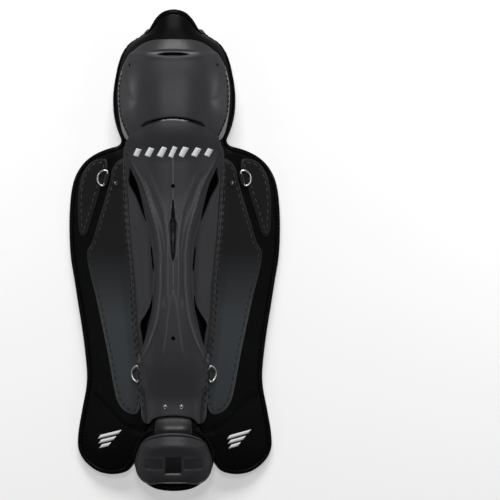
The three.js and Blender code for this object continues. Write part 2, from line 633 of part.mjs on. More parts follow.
/** A D ring lying flat: its bar along Y through the origin, its bow towards +X or -X. */
function dRing(side) {
  const radius = RING_WIRE / 2;
  const half = RING_LENGTH / 2 - radius;
  const depth = RING_DEPTH - RING_WIRE;
  const corner = 2.5;
  const path = [[0, -half + corner], [0, half - corner], [corner * 0.3, half - corner * 0.3], [corner, half]];
  const bowSteps = 7;
  for (let k = 1; k <= bowSteps - 1; k += 1) {
    const turn = Math.PI / 2 - (k / bowSteps) * Math.PI;
    path.push([corner + (depth - corner) * Math.cos(turn), half * Math.sin(turn)]);
  }
  path.push([corner, -half], [corner * 0.3, -half + corner * 0.3]);
  const count = path.length;
  const rings = path.map(([x, y], i) => {
    const before = path[(i + count - 1) % count];
    const after = path[(i + 1) % count];
    const tangent = new THREE.Vector2(after[0] - before[0], after[1] - before[1]).normalize();
    const out = new THREE.Vector2(-tangent.y, tangent.x);
    return Array.from({ length: WIRE_SIDES }, (_, k) => {
      const turn = side * ((k + 0.5) / WIRE_SIDES) * 2 * Math.PI;
      const reach = radius * Math.cos(turn);
      return new THREE.Vector3(side * (x + out.x * reach), y + out.y * reach, radius * Math.sin(turn));
    });
  });
  return hoop(rings);
}

/** The webbing loop that holds a ring's bar: a flat loop round the bar, along Y. */
function ringTab() {
  const bore = RING_WIRE / 2 + SEAT;
  const outer = bore + TAB_WALL;
  const shape = new THREE.Shape();
  shape.absarc(0, 0, outer, 0, 2 * Math.PI);
  shape.holes.push(new THREE.Path().absarc(0, 0, bore, 0, 2 * Math.PI, true));
  const length = RING_LENGTH - 2 * RING_WIRE - 4;
  const geometry = new THREE.ExtrudeGeometry(shape, { depth: length, bevelEnabled: false, curveSegments: 4 });
  geometry.translate(0, 0, -length / 2);
  geometry.rotateX(Math.PI / 2);
  return geometry;
}

const tabRadius = RING_WIRE / 2 + SEAT + TAB_WALL;
const RINGS = [
  { name: 'upper', x: 0.638, y: 0.298, lean: 17, tip: 14, seat: 2 * SEAT },
  { name: 'lower', x: 0.326, y: LOWER_RING_Y, lean: 3, tip: 0, seat: 2 * SEAT + PANEL_THICKNESS },
];
for (const [side, name] of [[-1, 'left'], [1, 'right']]) {
  for (const ring of RINGS) {
    const turn = side * THREE.MathUtils.degToRad(ring.lean);
    const tip = -side * THREE.MathUtils.degToRad(ring.tip);
    const placing = frameAt(side * ring.x, ring.y, ring.seat + tabRadius, turn, tip);
    add(`d_ring_${ring.name}_${name}`, dRing(side), 'chrome', placing);
    add(`ring_tab_${ring.name}_${name}`, ringTab(), 'tape', placing);
  }
}

/** A round-headed rivet standing on z = 0. */
function rivet() {
  const radius = RIVET_DIAMETER / 2;
  const profile = [[0, 0], [radius, 0], [radius, RIVET_HEIGHT * 0.35], [radius * 0.62, RIVET_HEIGHT * 0.88]];
  profile.push([0, RIVET_HEIGHT]);
  const geometry = new THREE.LatheGeometry(profile.map(([x, y]) => new THREE.Vector2(x, y)), RIVET_SIDES);
  geometry.rotateX(Math.PI / 2);
  return geometry;
}
const RIVETS = [
  { name: 'panel', x: 0.540, y: 0.279, top: panelFront },
  { name: 'shell', x: 0.076, y: -0.645, top: shinFront },
];
for (const [side, name] of [[-1, 'left'], [1, 'right']]) {
  for (const { name: kind, x, y, top } of RIVETS) {
    const lift = top(across(side * x * HALF_SPAN, y * HALF_LENGTH), y * HALF_LENGTH) + 2 * SEAT;
    add(`rivet_${kind}_${name}`, rivet(), 'rivet', frameAt(side * x, y, lift));
  }
}

// The guard stands with its lowest edge on z = 0, centred on the origin
const guard = new THREE.Group();
guard.add(...meshes);
guard.updateMatrixWorld(true);
const box = new THREE.Box3().setFromObject(guard, true);
const centre = box.getCenter(new THREE.Vector3());
guard.position.set(-centre.x, -centre.y, -box.min.z);

export default guard;
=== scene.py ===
"""Looks of an umpire leg guard: padded body, moulded shells, sewn panels, rings and stitching."""

import json
import logging
import math
from dataclasses import dataclass, field
from enum import Enum
from functools import partial
from typing import Callable, Sequence

import bpy
import numpy as np
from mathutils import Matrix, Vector, geometry

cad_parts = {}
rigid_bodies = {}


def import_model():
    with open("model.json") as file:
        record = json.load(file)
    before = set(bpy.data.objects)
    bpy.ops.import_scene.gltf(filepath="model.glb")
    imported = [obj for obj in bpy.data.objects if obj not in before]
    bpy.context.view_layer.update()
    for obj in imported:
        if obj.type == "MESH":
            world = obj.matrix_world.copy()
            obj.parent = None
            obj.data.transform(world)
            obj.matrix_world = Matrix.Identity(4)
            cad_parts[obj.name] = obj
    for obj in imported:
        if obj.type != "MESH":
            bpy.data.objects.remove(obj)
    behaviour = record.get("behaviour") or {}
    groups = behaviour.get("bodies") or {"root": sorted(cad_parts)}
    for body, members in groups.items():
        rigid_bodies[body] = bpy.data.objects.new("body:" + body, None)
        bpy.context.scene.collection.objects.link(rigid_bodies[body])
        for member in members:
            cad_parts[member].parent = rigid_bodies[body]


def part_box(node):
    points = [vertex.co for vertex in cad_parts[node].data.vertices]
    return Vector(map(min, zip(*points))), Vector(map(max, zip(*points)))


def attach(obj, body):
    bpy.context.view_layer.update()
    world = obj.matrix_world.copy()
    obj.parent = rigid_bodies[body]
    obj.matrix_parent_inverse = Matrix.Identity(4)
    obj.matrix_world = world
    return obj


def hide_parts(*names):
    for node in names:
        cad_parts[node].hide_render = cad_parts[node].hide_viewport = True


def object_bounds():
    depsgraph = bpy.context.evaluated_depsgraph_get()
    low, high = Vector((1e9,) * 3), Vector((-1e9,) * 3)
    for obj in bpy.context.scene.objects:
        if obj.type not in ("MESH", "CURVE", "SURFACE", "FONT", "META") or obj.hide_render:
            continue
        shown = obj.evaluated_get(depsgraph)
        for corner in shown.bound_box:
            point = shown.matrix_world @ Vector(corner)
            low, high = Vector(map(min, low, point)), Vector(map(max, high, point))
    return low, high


logging.basicConfig(level=logging.INFO, format="%(message)s")
log = logging.getLogger("guard")

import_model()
CAD_BOX = [list(corner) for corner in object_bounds()]

MM = 0.001
HALF_LENGTH = (CAD_BOX[1][1] - CAD_BOX[0][1]) / 2 / MM
HALF_SPAN = 134.0
CROWN_RISE = 66.0
PAD_THICKNESS = 9.0
BINDING_WIDTH = 5.5
BINDING_TAPE = 1.2
TONGUE_WALL = 2.2
PANEL_STITCH_INSET = 4.4
THREAD_SINK = 1.0
SHELL_WALL = 2.6
PANEL_THICKNESS = 2.0
PANEL_EASE = 0.5
SEAT = 0.4

Pair = tuple[float, float]
Lift = Callable[[np.ndarray, np.ndarray], np.ndarray]


def smooth(low: float, high: float, value: np.ndarray) -> np.ndarray:
    """Ease from 0 at low to 1 at high."""
    t = np.clip((np.asarray(value, float) - low) / (high - low), 0.0, 1.0)
    return t * t * (3 - 2 * t)


def hump(width: float, distance: np.ndarray) -> np.ndarray:
    """A soft ridge, 1 on its line and 0 a few widths away."""
    return np.exp(-((np.asarray(distance, float) / width) ** 2))


def read_rows(rows: Sequence[Sequence[float]], column: int, at: np.ndarray) -> np.ndarray:
    """Read a table's column with cubic easing between its rows.

    Args:
        rows: rows sorted by their first value.
        column: the column to read.
        at: places along the first column.

    Returns:
        The eased values.
    """
    table = np.array(rows, float)
    keys, values = table[:, 0], table[:, column]
    at = np.asarray(at, float)
    index = np.clip(np.searchsorted(keys, at) - 1, 0, len(keys) - 2)
    slopes = np.zeros(len(keys))
    slopes[1:-1] = (values[2:] - values[:-2]) / (keys[2:] - keys[:-2])
    span = keys[index + 1] - keys[index]
    t = np.clip((at - keys[index]) / span, 0.0, 1.0)
    t2, t3 = t * t, t * t * t
    return ((2 * t3 - 3 * t2 + 1) * values[index] + (t3 - 2 * t2 + t) * slopes[index] * span
            + (3 * t2 - 2 * t3) * values[index + 1] + (t3 - t2) * slopes[index + 1] * span)


@dataclass
class Form:
    """The bent surface that every sewn and moulded piece lies on, in millimetres.

    A place on it is u across from the middle, v along the guard, and a lift off its face.
    Each row of sections holds its place, the crown's rise, the arc lengths flat, bend, hold and
    hinge as shares of half the span, and the slopes steep and wing in degrees.
    """

    half_length: float = HALF_LENGTH
    half_span: float = HALF_SPAN
    crown_rise: float = CROWN_RISE
    base: float = 0.0
    sections: tuple = (
        # at, rise, flat, bend, steep, hold, hinge, wing
        (-1.00, 0.70, 0.06, 0.22, 34, 0.060, 0.10, 17.0),
        (-0.80, 0.74, 0.06, 0.22, 34, 0.060, 0.10, 17.0),
        (-0.55, 0.79, 0.06, 0.235, 35, 0.065, 0.10, 17.5),
        (-0.33, 0.84, 0.065, 0.265, 37, 0.088, 0.10, 18.0),
        (-0.07, 0.88, 0.075, 0.295, 38, 0.118, 0.10, 18.0),
        (0.30, 0.91, 0.075, 0.295, 38, 0.118, 0.10, 18.0),
        (0.415, 0.94, 0.075, 0.355, 40, 0.10, 0.10, 24.0),
        (0.50, 0.98, 0.075, 0.46, 46, 0.075, 0.10, 40.0),
        (0.60, 1.00, 0.075, 0.53, 53, 0.03, 0.10, 53.0),
        (0.70, 1.00, 0.075, 0.53, 57, 0.03, 0.10, 57.0),
        (0.80, 0.97, 0.06, 0.56, 66, 0.03, 0.10, 66.0),
        (0.86, 0.925, 0.04, 0.53, 76, 0.03, 0.10, 76.0),
        (0.915, 0.88, 0.015, 0.315, 78, 0.03, 0.10, 78.0),
        (1.00, 0.79, 0.015, 0.295, 70, 0.03, 0.10, 70.0),
    )

    def bent(self, u: np.ndarray, v: np.ndarray) -> tuple[np.ndarray, np.ndarray, np.ndarray]:
        """Sideways reach, height and slope of the face at u across and v along."""
        u, v = np.broadcast_arrays(np.asarray(u, float), np.asarray(v, float))
        rise, flat, bend, steep, hold, hinge, wing = (
            read_rows(self.sections, column, v / self.half_length) for column in range(1, 8))
        steep, wing = np.radians(steep), np.radians(wing)
        runs = ((flat, 0 * steep), (bend, steep), (hold, steep), (hinge, wing), (None, wing))
        left = np.abs(u).astype(float)
        x, drop, angle = np.zeros_like(left), np.zeros_like(left), np.zeros_like(left)
        for reach, slope in runs:
            length = left if reach is None else np.minimum(left, reach * self.half_span)
            turn = np.zeros_like(left) if reach is None else (slope - angle) * length / (reach * self.half_span)
            middle = angle + turn / 2
            chord = length * np.sinc(turn / (2 * np.pi))
            x += chord * np.cos(middle)
            drop += chord * np.sin(middle)
            angle = angle + turn
            left = left - length
        return np.sign(u) * x, rise * self.crown_rise - drop, angle

    def face(self, u: np.ndarray, v: np.ndarray) -> np.ndarray:
        """Points of the face, one row each."""
        x, z, _ = self.bent(u, v)
        return np.stack([x, np.broadcast_to(np.asarray(v, float), x.shape), z], axis=-1)

    def normal(self, u: np.ndarray, v: np.ndarray) -> np.ndarray:
        """Unit normals of the face."""
        step = 0.5
        sideways = self.face(u + step, v) - self.face(u - step, v)
        along = self.face(u, v + step) - self.face(u, v - step)
        out = np.cross(sideways, along)
        return out / np.linalg.norm(out, axis=-1, keepdims=True)

    def lay(self, u: np.ndarray, v: np.ndarray, lift: np.ndarray | float) -> np.ndarray:
        """Points lifted off the face, in metres in the guard's frame, none below the ground."""
        u, v = np.asarray(u, float), np.asarray(v, float)
        lift = np.broadcast_to(np.asarray(lift, float), u.shape)
        points = self.face(u, v) + self.normal(u, v) * lift[..., None]
        points[..., 2] = np.maximum(points[..., 2] + self.base, 0.05)
        return points * MM

    def across(self, x: np.ndarray, v: np.ndarray, lift: np.ndarray | float = 0.0) -> np.ndarray:
        """The arc distance u of places seen from the front at x, on a layer lifted off the face."""
        x = np.asarray(x, float)
        u = np.abs(x)
        for _ in range(24):
            reach, _, angle = self.bent(u, v)
            u = u + (np.abs(x) - reach - lift * np.sin(angle)) / np.maximum(0.3, np.cos(angle))
        return np.sign(x) * u


FORM = Form()
PACK_CELL = 26.0


def seat_form() -> None:
    """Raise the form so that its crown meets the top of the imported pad."""
    rows = np.arange(-11, 12) * PACK_CELL
    crown = FORM.face(np.zeros(len(rows)), rows)[:, 2].max()
    FORM.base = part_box("main_pad")[1][2] / MM - crown


def mirrored(half: Sequence[Pair]) -> list[Pair]:
    """A closed symmetric outline from its right half, top to bottom."""
    return list(half) + [(-x, y) for x, y in reversed(half) if x > 0]


def flat_pattern(shares: Sequence[Pair]) -> np.ndarray:
    """Arc-length shares of half the span and half the length, in millimetres."""
    return np.array(shares, float) * (HALF_SPAN, HALF_LENGTH)


def front_view(shares: Sequence[Pair], lift: float = 0.0) -> np.ndarray:
    """Front-view shares of half the span and half the length, laid on the form."""
    places = flat_pattern(shares)
    return np.stack([FORM.across(places[:, 0], places[:, 1], lift), places[:, 1]], axis=1)


def laid_on(shares: Sequence[Pair], front: Lift) -> np.ndarray:
    """Front-view shares laid where a piece's front face shows them."""
    places = flat_pattern(shares)
    v = places[:, 1]
    u = places[:, 0].copy()
    for _ in range(24):
        u = (u + FORM.across(places[:, 0], v, front(u, v))) / 2
    return np.stack([u, v], axis=1)


def evenly(points: np.ndarray, count: int, closed: bool = False) -> np.ndarray:
    """Points at even spacing along a polyline."""
    line = np.vstack([points, points[:1]]) if closed else points
    run = np.concatenate([[0.0], np.cumsum(np.linalg.norm(np.diff(line, axis=0), axis=1))])
    at = np.linspace(0.0, run[-1], count + 1)[:-1] if closed else np.linspace(0.0, run[-1], count)
    return np.stack([np.interp(at, run, line[:, k]) for k in range(line.shape[1])], axis=1)


def length_of(points: np.ndarray, closed: bool = False) -> float:
    """A polyline's length."""
    line = np.vstack([points, points[:1]]) if closed else points
    return float(np.linalg.norm(np.diff(line, axis=0), axis=1).sum())


def rounded(points: np.ndarray, closed: bool = True, steps: int = 14) -> np.ndarray:
    """A centripetal Catmull-Rom line through points.

    Args:
        points: control points.
        closed: whether the line returns to its start.
        steps: fine points between two controls.

    Returns:
        The fine points.
    """
    count = len(points)
    fine = []
    for i in range(count if closed else count - 1):
        if closed:
            p0, p1, p2, p3 = (points[(i + k) % count] for k in (-1, 0, 1, 2))
        else:
            p1, p2 = points[i], points[i + 1]
            p0 = points[i - 1] if i > 0 else 2 * p1 - p2
            p3 = points[i + 2] if i + 2 < count else 2 * p2 - p1
        knots = [0.0]
        for a, b in ((p0, p1), (p1, p2), (p2, p3)):
            knots.append(knots[-1] + max(1e-6, float(np.linalg.norm(b - a)) ** 0.5))
        for t in np.linspace(knots[1], knots[2], steps, endpoint=False):
            a1 = ((knots[1] - t) * p0 + (t - knots[0]) * p1) / (knots[1] - knots[0])
            a2 = ((knots[2] - t) * p1 + (t - knots[1]) * p2) / (knots[2] - knots[1])
            a3 = ((knots[3] - t) * p2 + (t - knots[2]) * p3) / (knots[3] - knots[2])
            b1 = ((knots[2] - t) * a1 + (t - knots[0]) * a2) / (knots[2] - knots[0])
            b2 = ((knots[3] - t) * a2 + (t - knots[1]) * a3) / (knots[3] - knots[1])
            fine.append(((knots[2] - t) * b1 + (t - knots[1]) * b2) / (knots[2] - knots[1]))
    if not closed:
        fine.append(points[-1])
    return np.array(fine)


def loop_of(points: np.ndarray, spacing: float) -> np.ndarray:
    """A smooth closed loop through points, counterclockwise, at even spacing."""
    fine = rounded(points)
    area = np.sum(fine[:, 0] * np.roll(fine[:, 1], -1) - np.roll(fine[:, 0], -1) * fine[:, 1])
    if area < 0:
        fine = fine[::-1]
    return evenly(fine, max(8, round(length_of(fine, closed=True) / spacing)), closed=True)


def inset(loop: np.ndarray, distance: float) -> np.ndarray:
    """A counterclockwise loop moved inwards."""
    along = np.roll(loop, -1, axis=0) - np.roll(loop, 1, axis=0)
    along /= np.linalg.norm(along, axis=1, keepdims=True)
    return loop + np.stack([-along[:, 1], along[:, 0]], axis=1) * distance


def from_edge(places: np.ndarray, line: np.ndarray, closed: bool = True) -> np.ndarray:
    """The distance of each place from a polyline."""
    ends = np.roll(line, -1, axis=0) if closed else line[1:]
    starts = line if closed else line[:-1]
    span = ends - starts
    scale = np.maximum(1e-12, (span ** 2).sum(axis=1))
    best = np.full(len(places), np.inf)
    for first in range(0, len(starts), 64):
        block = slice(first, first + 64)
        away = places[:, None, :] - starts[None, block]
        t = np.clip((away * span[None, block]).sum(axis=2) / scale[None, block], 0.0, 1.0)
        gap = away - t[..., None] * span[None, block]
        best = np.minimum(best, np.sqrt((gap ** 2).sum(axis=2)).min(axis=1))
    return best


def inside(places: np.ndarray, loop: np.ndarray) -> np.ndarray:
    """Whether each place lies inside a closed loop."""
    x, y = places[:, 0], places[:, 1]
    result = np.zeros(len(places), bool)
    for (x1, y1), (x2, y2) in zip(loop, np.roll(loop, -1, axis=0)):
        crosses = (y1 > y) != (y2 > y)
        if y1 != y2:
            result ^= crosses & (x < (x2 - x1) * (y - y1) / (y2 - y1) + x1)
    return result


def deselect() -> None:
    """Leave nothing selected and no object active."""
    bpy.ops.object.select_all(action="DESELECT")
    bpy.context.view_layer.objects.active = None


def choose(piece: bpy.types.Object) -> None:
    """Make one object the only selected and active one."""
    deselect()
    piece.select_set(True)
    bpy.context.view_layer.objects.active = piece


def new_mesh(name: str, points: np.ndarray, faces: Sequence[Sequence[int]]) -> bpy.types.Object:
    """An object made of points and faces.

    Args:
        name: the object's name.
        points: corners in metres, one row each.
        faces: corner numbers of each face.

    Returns:
        The new object, smooth shaded.
    """
    mesh = bpy.data.meshes.new(name)
    mesh.from_pydata(np.asarray(points).tolist(), [], [list(map(int, f)) for f in faces])
    mesh.validate()
    piece = bpy.data.objects.new(name, mesh)
    bpy.context.scene.collection.objects.link(piece)
    mesh.polygons.foreach_set("use_smooth", [True] * len(mesh.polygons))
    mesh.update()
    return piece


def apply_modifier(piece: bpy.types.Object, kind: str, **settings: object) -> None:
    """Add a modifier with its settings and apply it."""
    choose(piece)
    modifier = piece.modifiers.new(kind.lower(), kind)
    for key, value in settings.items():
        setattr(modifier, key, value)
    bpy.ops.object.modifier_apply(modifier=modifier.name)


def shade(piece: bpy.types.Object, degrees: float = 35.0) -> None:
    """Shade a piece smooth across edges flatter than an angle."""
    choose(piece)
    bpy.ops.object.shade_smooth_by_angle(angle=math.radians(degrees))


def keep_mask(piece: bpy.types.Object, name: str, values: np.ndarray) -> None:
    """Store one number a corner point as a named attribute for the materials."""
    layer = piece.data.attributes.new(name, "FLOAT", "POINT")
    layer.data.foreach_set("value", np.asarray(values, np.float32))


def join(pieces: Sequence[bpy.types.Object], name: str) -> bpy.types.Object:
    """Join several objects into one and name it."""
    deselect()
    for piece in pieces:
        piece.select_set(True)
    bpy.context.view_layer.objects.active = pieces[0]
    bpy.ops.object.join()
    pieces[0].name = name
    pieces[0].data.name = name
    return pieces[0]


def settle(piece: bpy.types.Object, finish: bpy.types.Material,
           replaces: Sequence[str] = ()) -> bpy.types.Object:
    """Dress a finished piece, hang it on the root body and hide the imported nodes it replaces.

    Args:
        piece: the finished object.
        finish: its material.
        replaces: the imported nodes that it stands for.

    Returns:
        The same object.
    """
    if finish.name not in [m.name for m in piece.data.materials if m]:
        piece.data.materials.append(finish)
    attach(piece, "root")
    if replaces:
        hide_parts(*replaces)
    piece.data.calc_loop_triangles()
    log.info("%s: %d triangles", piece.name, len(piece.data.loop_triangles))
    return piece


def fill_pattern(loop: np.ndarray, spacing: float) -> tuple[np.ndarray, np.ndarray]:
    """Fill a loop with a fine even net of triangles.

    Args:
        loop: the counterclockwise outline.
        spacing: the net's pitch.

    Returns:
        The net's points and its triangles; the loop's points come first.
    """
    low, high = loop.min(axis=0), loop.max(axis=0)
    rows = np.arange(math.floor(low[1] / spacing), math.ceil(high[1] / spacing) + 1) * spacing
    columns = np.arange(math.floor(low[0] / spacing), math.ceil(high[0] / spacing) + 1) * spacing
    grid = np.stack(np.meshgrid(columns, rows), axis=-1).reshape(-1, 2)
    grid = grid[inside(grid, loop)]
    grid = grid[from_edge(grid, loop) > spacing * 0.45]
    places = np.vstack([loop, grid])
    count = len(loop)
    edges = [(i, (i + 1) % count) for i in range(count)]
    made = geometry.delaunay_2d_cdt([Vector(p) for p in places], edges, [list(range(count))], 1, 1e-5)
    points = np.array([tuple(p) for p in made[0]])
    triangles = np.array([list(f) for f in made[2]], int)
    a, b, c = (points[triangles[:, k]] for k in range(3))
    turned = np.cross(b - a, c - a) < 0
    triangles[turned] = triangles[turned][:, ::-1]
    return points, triangles


def slab(name: str, loop: np.ndarray, spacing: float, front: Lift, back: Lift,
         wall_steps: int = 3) -> tuple[bpy.types.Object, np.ndarray, int]:
    """A closed soft body between two lifted faces of one pattern.

    Args:
        name: the object's name.
        loop: the counterclockwise outline in flat-pattern millimetres.
        spacing: the net's pitch.
        front: the front face's lift.
        back: the back face's lift.
        wall_steps: rows of faces round the edge.

    Returns:
        The object, the flat place of each of its points, and how many points a face has.
    """
    places, triangles = fill_pattern(loop, spacing)
    count, rim = len(places), len(loop)
    u, v = places[:, 0], places[:, 1]
    top, bottom = front(u, v), back(u, v)
    layers = [FORM.lay(u, v, top), FORM.lay(u, v, bottom)]
    flats = [places, places]
    faces = [tuple(t) for t in triangles] + [tuple(t[::-1] + count) for t in triangles]
    rows = [np.arange(rim)]
    start = 2 * count
    for step in range(1, wall_steps):
        share = step / wall_steps
        bulge = inset(loop, -0.6 * math.sin(math.pi * share))
        layers.append(FORM.lay(bulge[:, 0], bulge[:, 1], top[:rim] * (1 - share) + bottom[:rim] * share))
        flats.append(bulge)
        rows.append(np.arange(start, start + rim))
        start += rim
    rows.append(np.arange(count, count + rim))
    for above, below in zip(rows, rows[1:]):
        for i in range(rim):
            j = (i + 1) % rim
            faces.append((above[i], below[i], below[j], above[j]))
    return new_mesh(name, np.vstack(layers), faces), np.vstack(flats), count


def hoop(name: str, rings: np.ndarray, closed: bool = True) -> bpy.types.Object:
    """A tube through rings of points, closed on itself or capped at its ends."""
    count, sides = rings.shape[:2]
    index = np.arange(count * sides).reshape(count, sides)
    faces = []
    for i in range(count if closed else count - 1):
        here, there = index[i], index[(i + 1) % count]
        for k in range(sides):
            after = (k + 1) % sides
            faces.append((here[k], here[after], there[after], there[k]))
    if not closed:
        faces.append(tuple(index[0][::-1]))
        faces.append(tuple(index[-1]))
    return new_mesh(name, rings.reshape(-1, 3), faces)


def round_wire(name: str, line: np.ndarray, up: np.ndarray, radius: float, sides: int) -> bpy.types.Object:
    """A closed round wire along a line.

    Args:
        name: the piece's name.
        line: points of its middle, in metres.
        up: a direction across it at each point.
        radius: its radius in metres.
        sides: how many sides its section has.

    Returns:
        The piece.
    """
    along = np.roll(line, -1, axis=0) - np.roll(line, 1, axis=0)
    along /= np.linalg.norm(along, axis=1, keepdims=True)
    beside = np.cross(along, up)
    turns = np.arange(sides) / sides * 2 * np.pi
    ring = beside[:, None] * np.cos(turns)[None, :, None] + up[:, None] * np.sin(turns)[None, :, None]
    return hoop(name, line[:, None] + ring * radius)


# Materials

class Shader:
    """A material's node tree, with short calls to add and link nodes."""

    def __init__(self, name: str) -> None:
        """Start a node material that holds only its output and its Principled shader."""
        self.material = bpy.data.materials.new(name)
        self.material.use_nodes = True
        self.tree = self.material.node_tree
        self.surface = self.tree.nodes["Principled BSDF"]
        self.place = self.tree.nodes.new("ShaderNodeTexCoord").outputs["Object"]

    def node(self, kind: str, **settings: object) -> bpy.types.Node:
        """Add a node; keyword names that are its properties are set."""
        made = self.tree.nodes.new(kind)
        for key, value in settings.items():
            setattr(made, key, value)
        return made

    def link(self, source: bpy.types.NodeSocket, target: bpy.types.NodeSocket) -> None:
        """Join two sockets."""
        self.tree.links.new(source, target)

    def set(self, **sockets: object) -> None:
        """Set plain values on the shader's own sockets."""
        for key, value in sockets.items():
            self.surface.inputs[key.replace("_", " ")].default_value = value

    def group(self, tree: bpy.types.NodeTree, **values: float) -> bpy.types.Node:
        """Place a shared group, fed with the object's coordinates."""
        made = self.tree.nodes.new("ShaderNodeGroup")
        made.node_tree = tree
        self.link(self.place, made.inputs["Place"])
        for key, value in values.items():
            made.inputs[key].default_value = value
        return made

    def mask(self, name: str) -> bpy.types.NodeSocket:
        """The value of a named attribute on the piece."""
        return self.node("ShaderNodeAttribute", attribute_name=name).outputs["Fac"]

    def blend(self, share: bpy.types.NodeSocket, low: object, high: object) -> bpy.types.NodeSocket:
        """A colour between two by a share; each is a colour or a socket."""
        mix = self.node("ShaderNodeMix", data_type="RGBA")
        self.link(share, mix.inputs[0])
        for socket, colour in zip(mix.inputs[6:8], (low, high)):
            if isinstance(colour, tuple):
                socket.default_value = (*colour, 1.0)
            else:
                self.link(colour, socket)
        return mix.outputs[2]

    def along(self, start: float, end: float) -> bpy.types.NodeSocket:
        """0 to 1 between two places along the guard."""
        split = self.node("ShaderNodeSeparateXYZ")
        self.link(self.place, split.inputs[0])
        return self.ramp(split.outputs["Y"], (start, end), (0.0, 1.0))

    def ramp(self, value: bpy.types.NodeSocket, source: Pair, target: Pair) -> bpy.types.NodeSocket:
        """A value moved from one range to another, clamped."""
        made = self.node("ShaderNodeMapRange")
        self.link(value, made.inputs["Value"])
        made.inputs["From Min"].default_value, made.inputs["From Max"].default_value = source
        made.inputs["To Min"].default_value, made.inputs["To Max"].default_value = target
        return made.outputs["Result"]

    def add(self, first: bpy.types.NodeSocket, second: bpy.types.NodeSocket) -> bpy.types.NodeSocket:
        """The sum of two values."""
        made = self.node("ShaderNodeMath", operation="ADD")
        self.link(first, made.inputs[0])
        self.link(second, made.inputs[1])
        return made.outputs[0]

    def bump(self, height: bpy.types.NodeSocket, distance: float, strength: float = 1.0) -> None:
        """Roughen the surface by a height in metres of depth."""
        made = self.node("ShaderNodeBump")
        made.inputs["Distance"].default_value = distance
        made.inputs["Strength"].default_value = strength
        self.link(height, made.inputs["Height"])
        self.link(made.outputs["Normal"], self.surface.inputs["Normal"])


class Group:
    """A shared shader group fed by a place."""

    def __init__(self, name: str, numbers: dict[str, float]) -> None:
        """Make the group with its inputs and its one output named Value."""
        self.tree = bpy.data.node_groups.new(name, "ShaderNodeTree")
        self.tree.interface.new_socket("Place", in_out="INPUT", socket_type="NodeSocketVector")
        for key, value in numbers.items():
            made = self.tree.interface.new_socket(key, in_out="INPUT", socket_type="NodeSocketFloat")
            made.default_value = value
        self.tree.interface.new_socket("Value", in_out="OUTPUT", socket_type="NodeSocketFloat")
        self.inputs = self.tree.nodes.new("NodeGroupInput").outputs
        self.outputs = self.tree.nodes.new("NodeGroupOutput").inputs

    def math(self, operation: str, *values: object) -> bpy.types.NodeSocket:
        """A math node over sockets or numbers."""
        made = self.tree.nodes.new("ShaderNodeMath")
        made.operation = operation
        for socket, value in zip(made.inputs, values):
            if isinstance(value, (int, float)):
                socket.default_value = value
            else:
                self.tree.links.new(value, socket)
        return made.outputs[0]

    def texture(self, kind: str, scale: object, **settings: float) -> bpy.types.Node:
        """A texture read at the place, at a scale."""
        made = self.tree.nodes.new(kind)
        self.tree.links.new(self.inputs["Place"], made.inputs["Vector"])
        if isinstance(scale, (int, float)):
            made.inputs["Scale"].default_value = scale
        else:
            self.tree.links.new(scale, made.inputs["Scale"])
        for key, value in settings.items():
            made.inputs[key].default_value = value
        return made

    def finish(self, value: bpy.types.NodeSocket) -> bpy.types.NodeTree:
        """Send the value out and return the tree."""
        self.tree.links.new(value, self.outputs["Value"])
        return self.tree


def make_grain() -> bpy.types.NodeTree:
    """Pebbled grain of coated cloth and moulded plastic: cells over a fine cloud."""
    group = Group("surface_grain", {"Scale": 900.0, "Cloud": 0.4})
    cells = group.texture("ShaderNodeTexVoronoi", group.inputs["Scale"])
    cloud = group.texture("ShaderNodeTexNoise", group.math("MULTIPLY", group.inputs["Scale"], 0.35), Detail=4.0)
    clouded = group.math("MULTIPLY", cloud.outputs["Fac"], group.inputs["Cloud"])
    return group.finish(group.math("ADD", cells.outputs["Distance"], clouded))


def make_weave() -> bpy.types.NodeTree:
    """A diagonal knit: two crossed sets of threads."""
    group = Group("diagonal_weave", {"Threads": 900.0})
    split = group.tree.nodes.new("ShaderNodeSeparateXYZ")
    group.tree.links.new(group.inputs["Place"], split.inputs[0])
    x, y = split.outputs["X"], split.outputs["Y"]
    waves = []
    for operation in ("ADD", "SUBTRACT"):
        turned = group.math(operation, x, group.math("MULTIPLY", y, 0.62))
        phase = group.math("MULTIPLY", turned, group.inputs["Threads"])
        waves.append(group.math("ABSOLUTE", group.math("SINE", phase)))
    return group.finish(group.math("MULTIPLY", *waves))


def make_dust() -> bpy.types.NodeTree:
    """Slow patches of handling marks and settled dust."""
    group = Group("handling_marks", {"Scale": 14.0})
    broad = group.texture("ShaderNodeTexNoise", group.inputs["Scale"], Detail=3.0)
    fine = group.texture("ShaderNodeTexNoise", group.math("MULTIPLY", group.inputs["Scale"], 9.0), Detail=5.0)
    return group.finish(group.math("MULTIPLY", broad.outputs["Fac"], fine.outputs["Fac"]))


@dataclass(frozen=True)
class Effects:
    """The shader groups that several finishes share."""

    grain: bpy.types.NodeTree
    weave: bpy.types.NodeTree
    dust: bpy.types.NodeTree


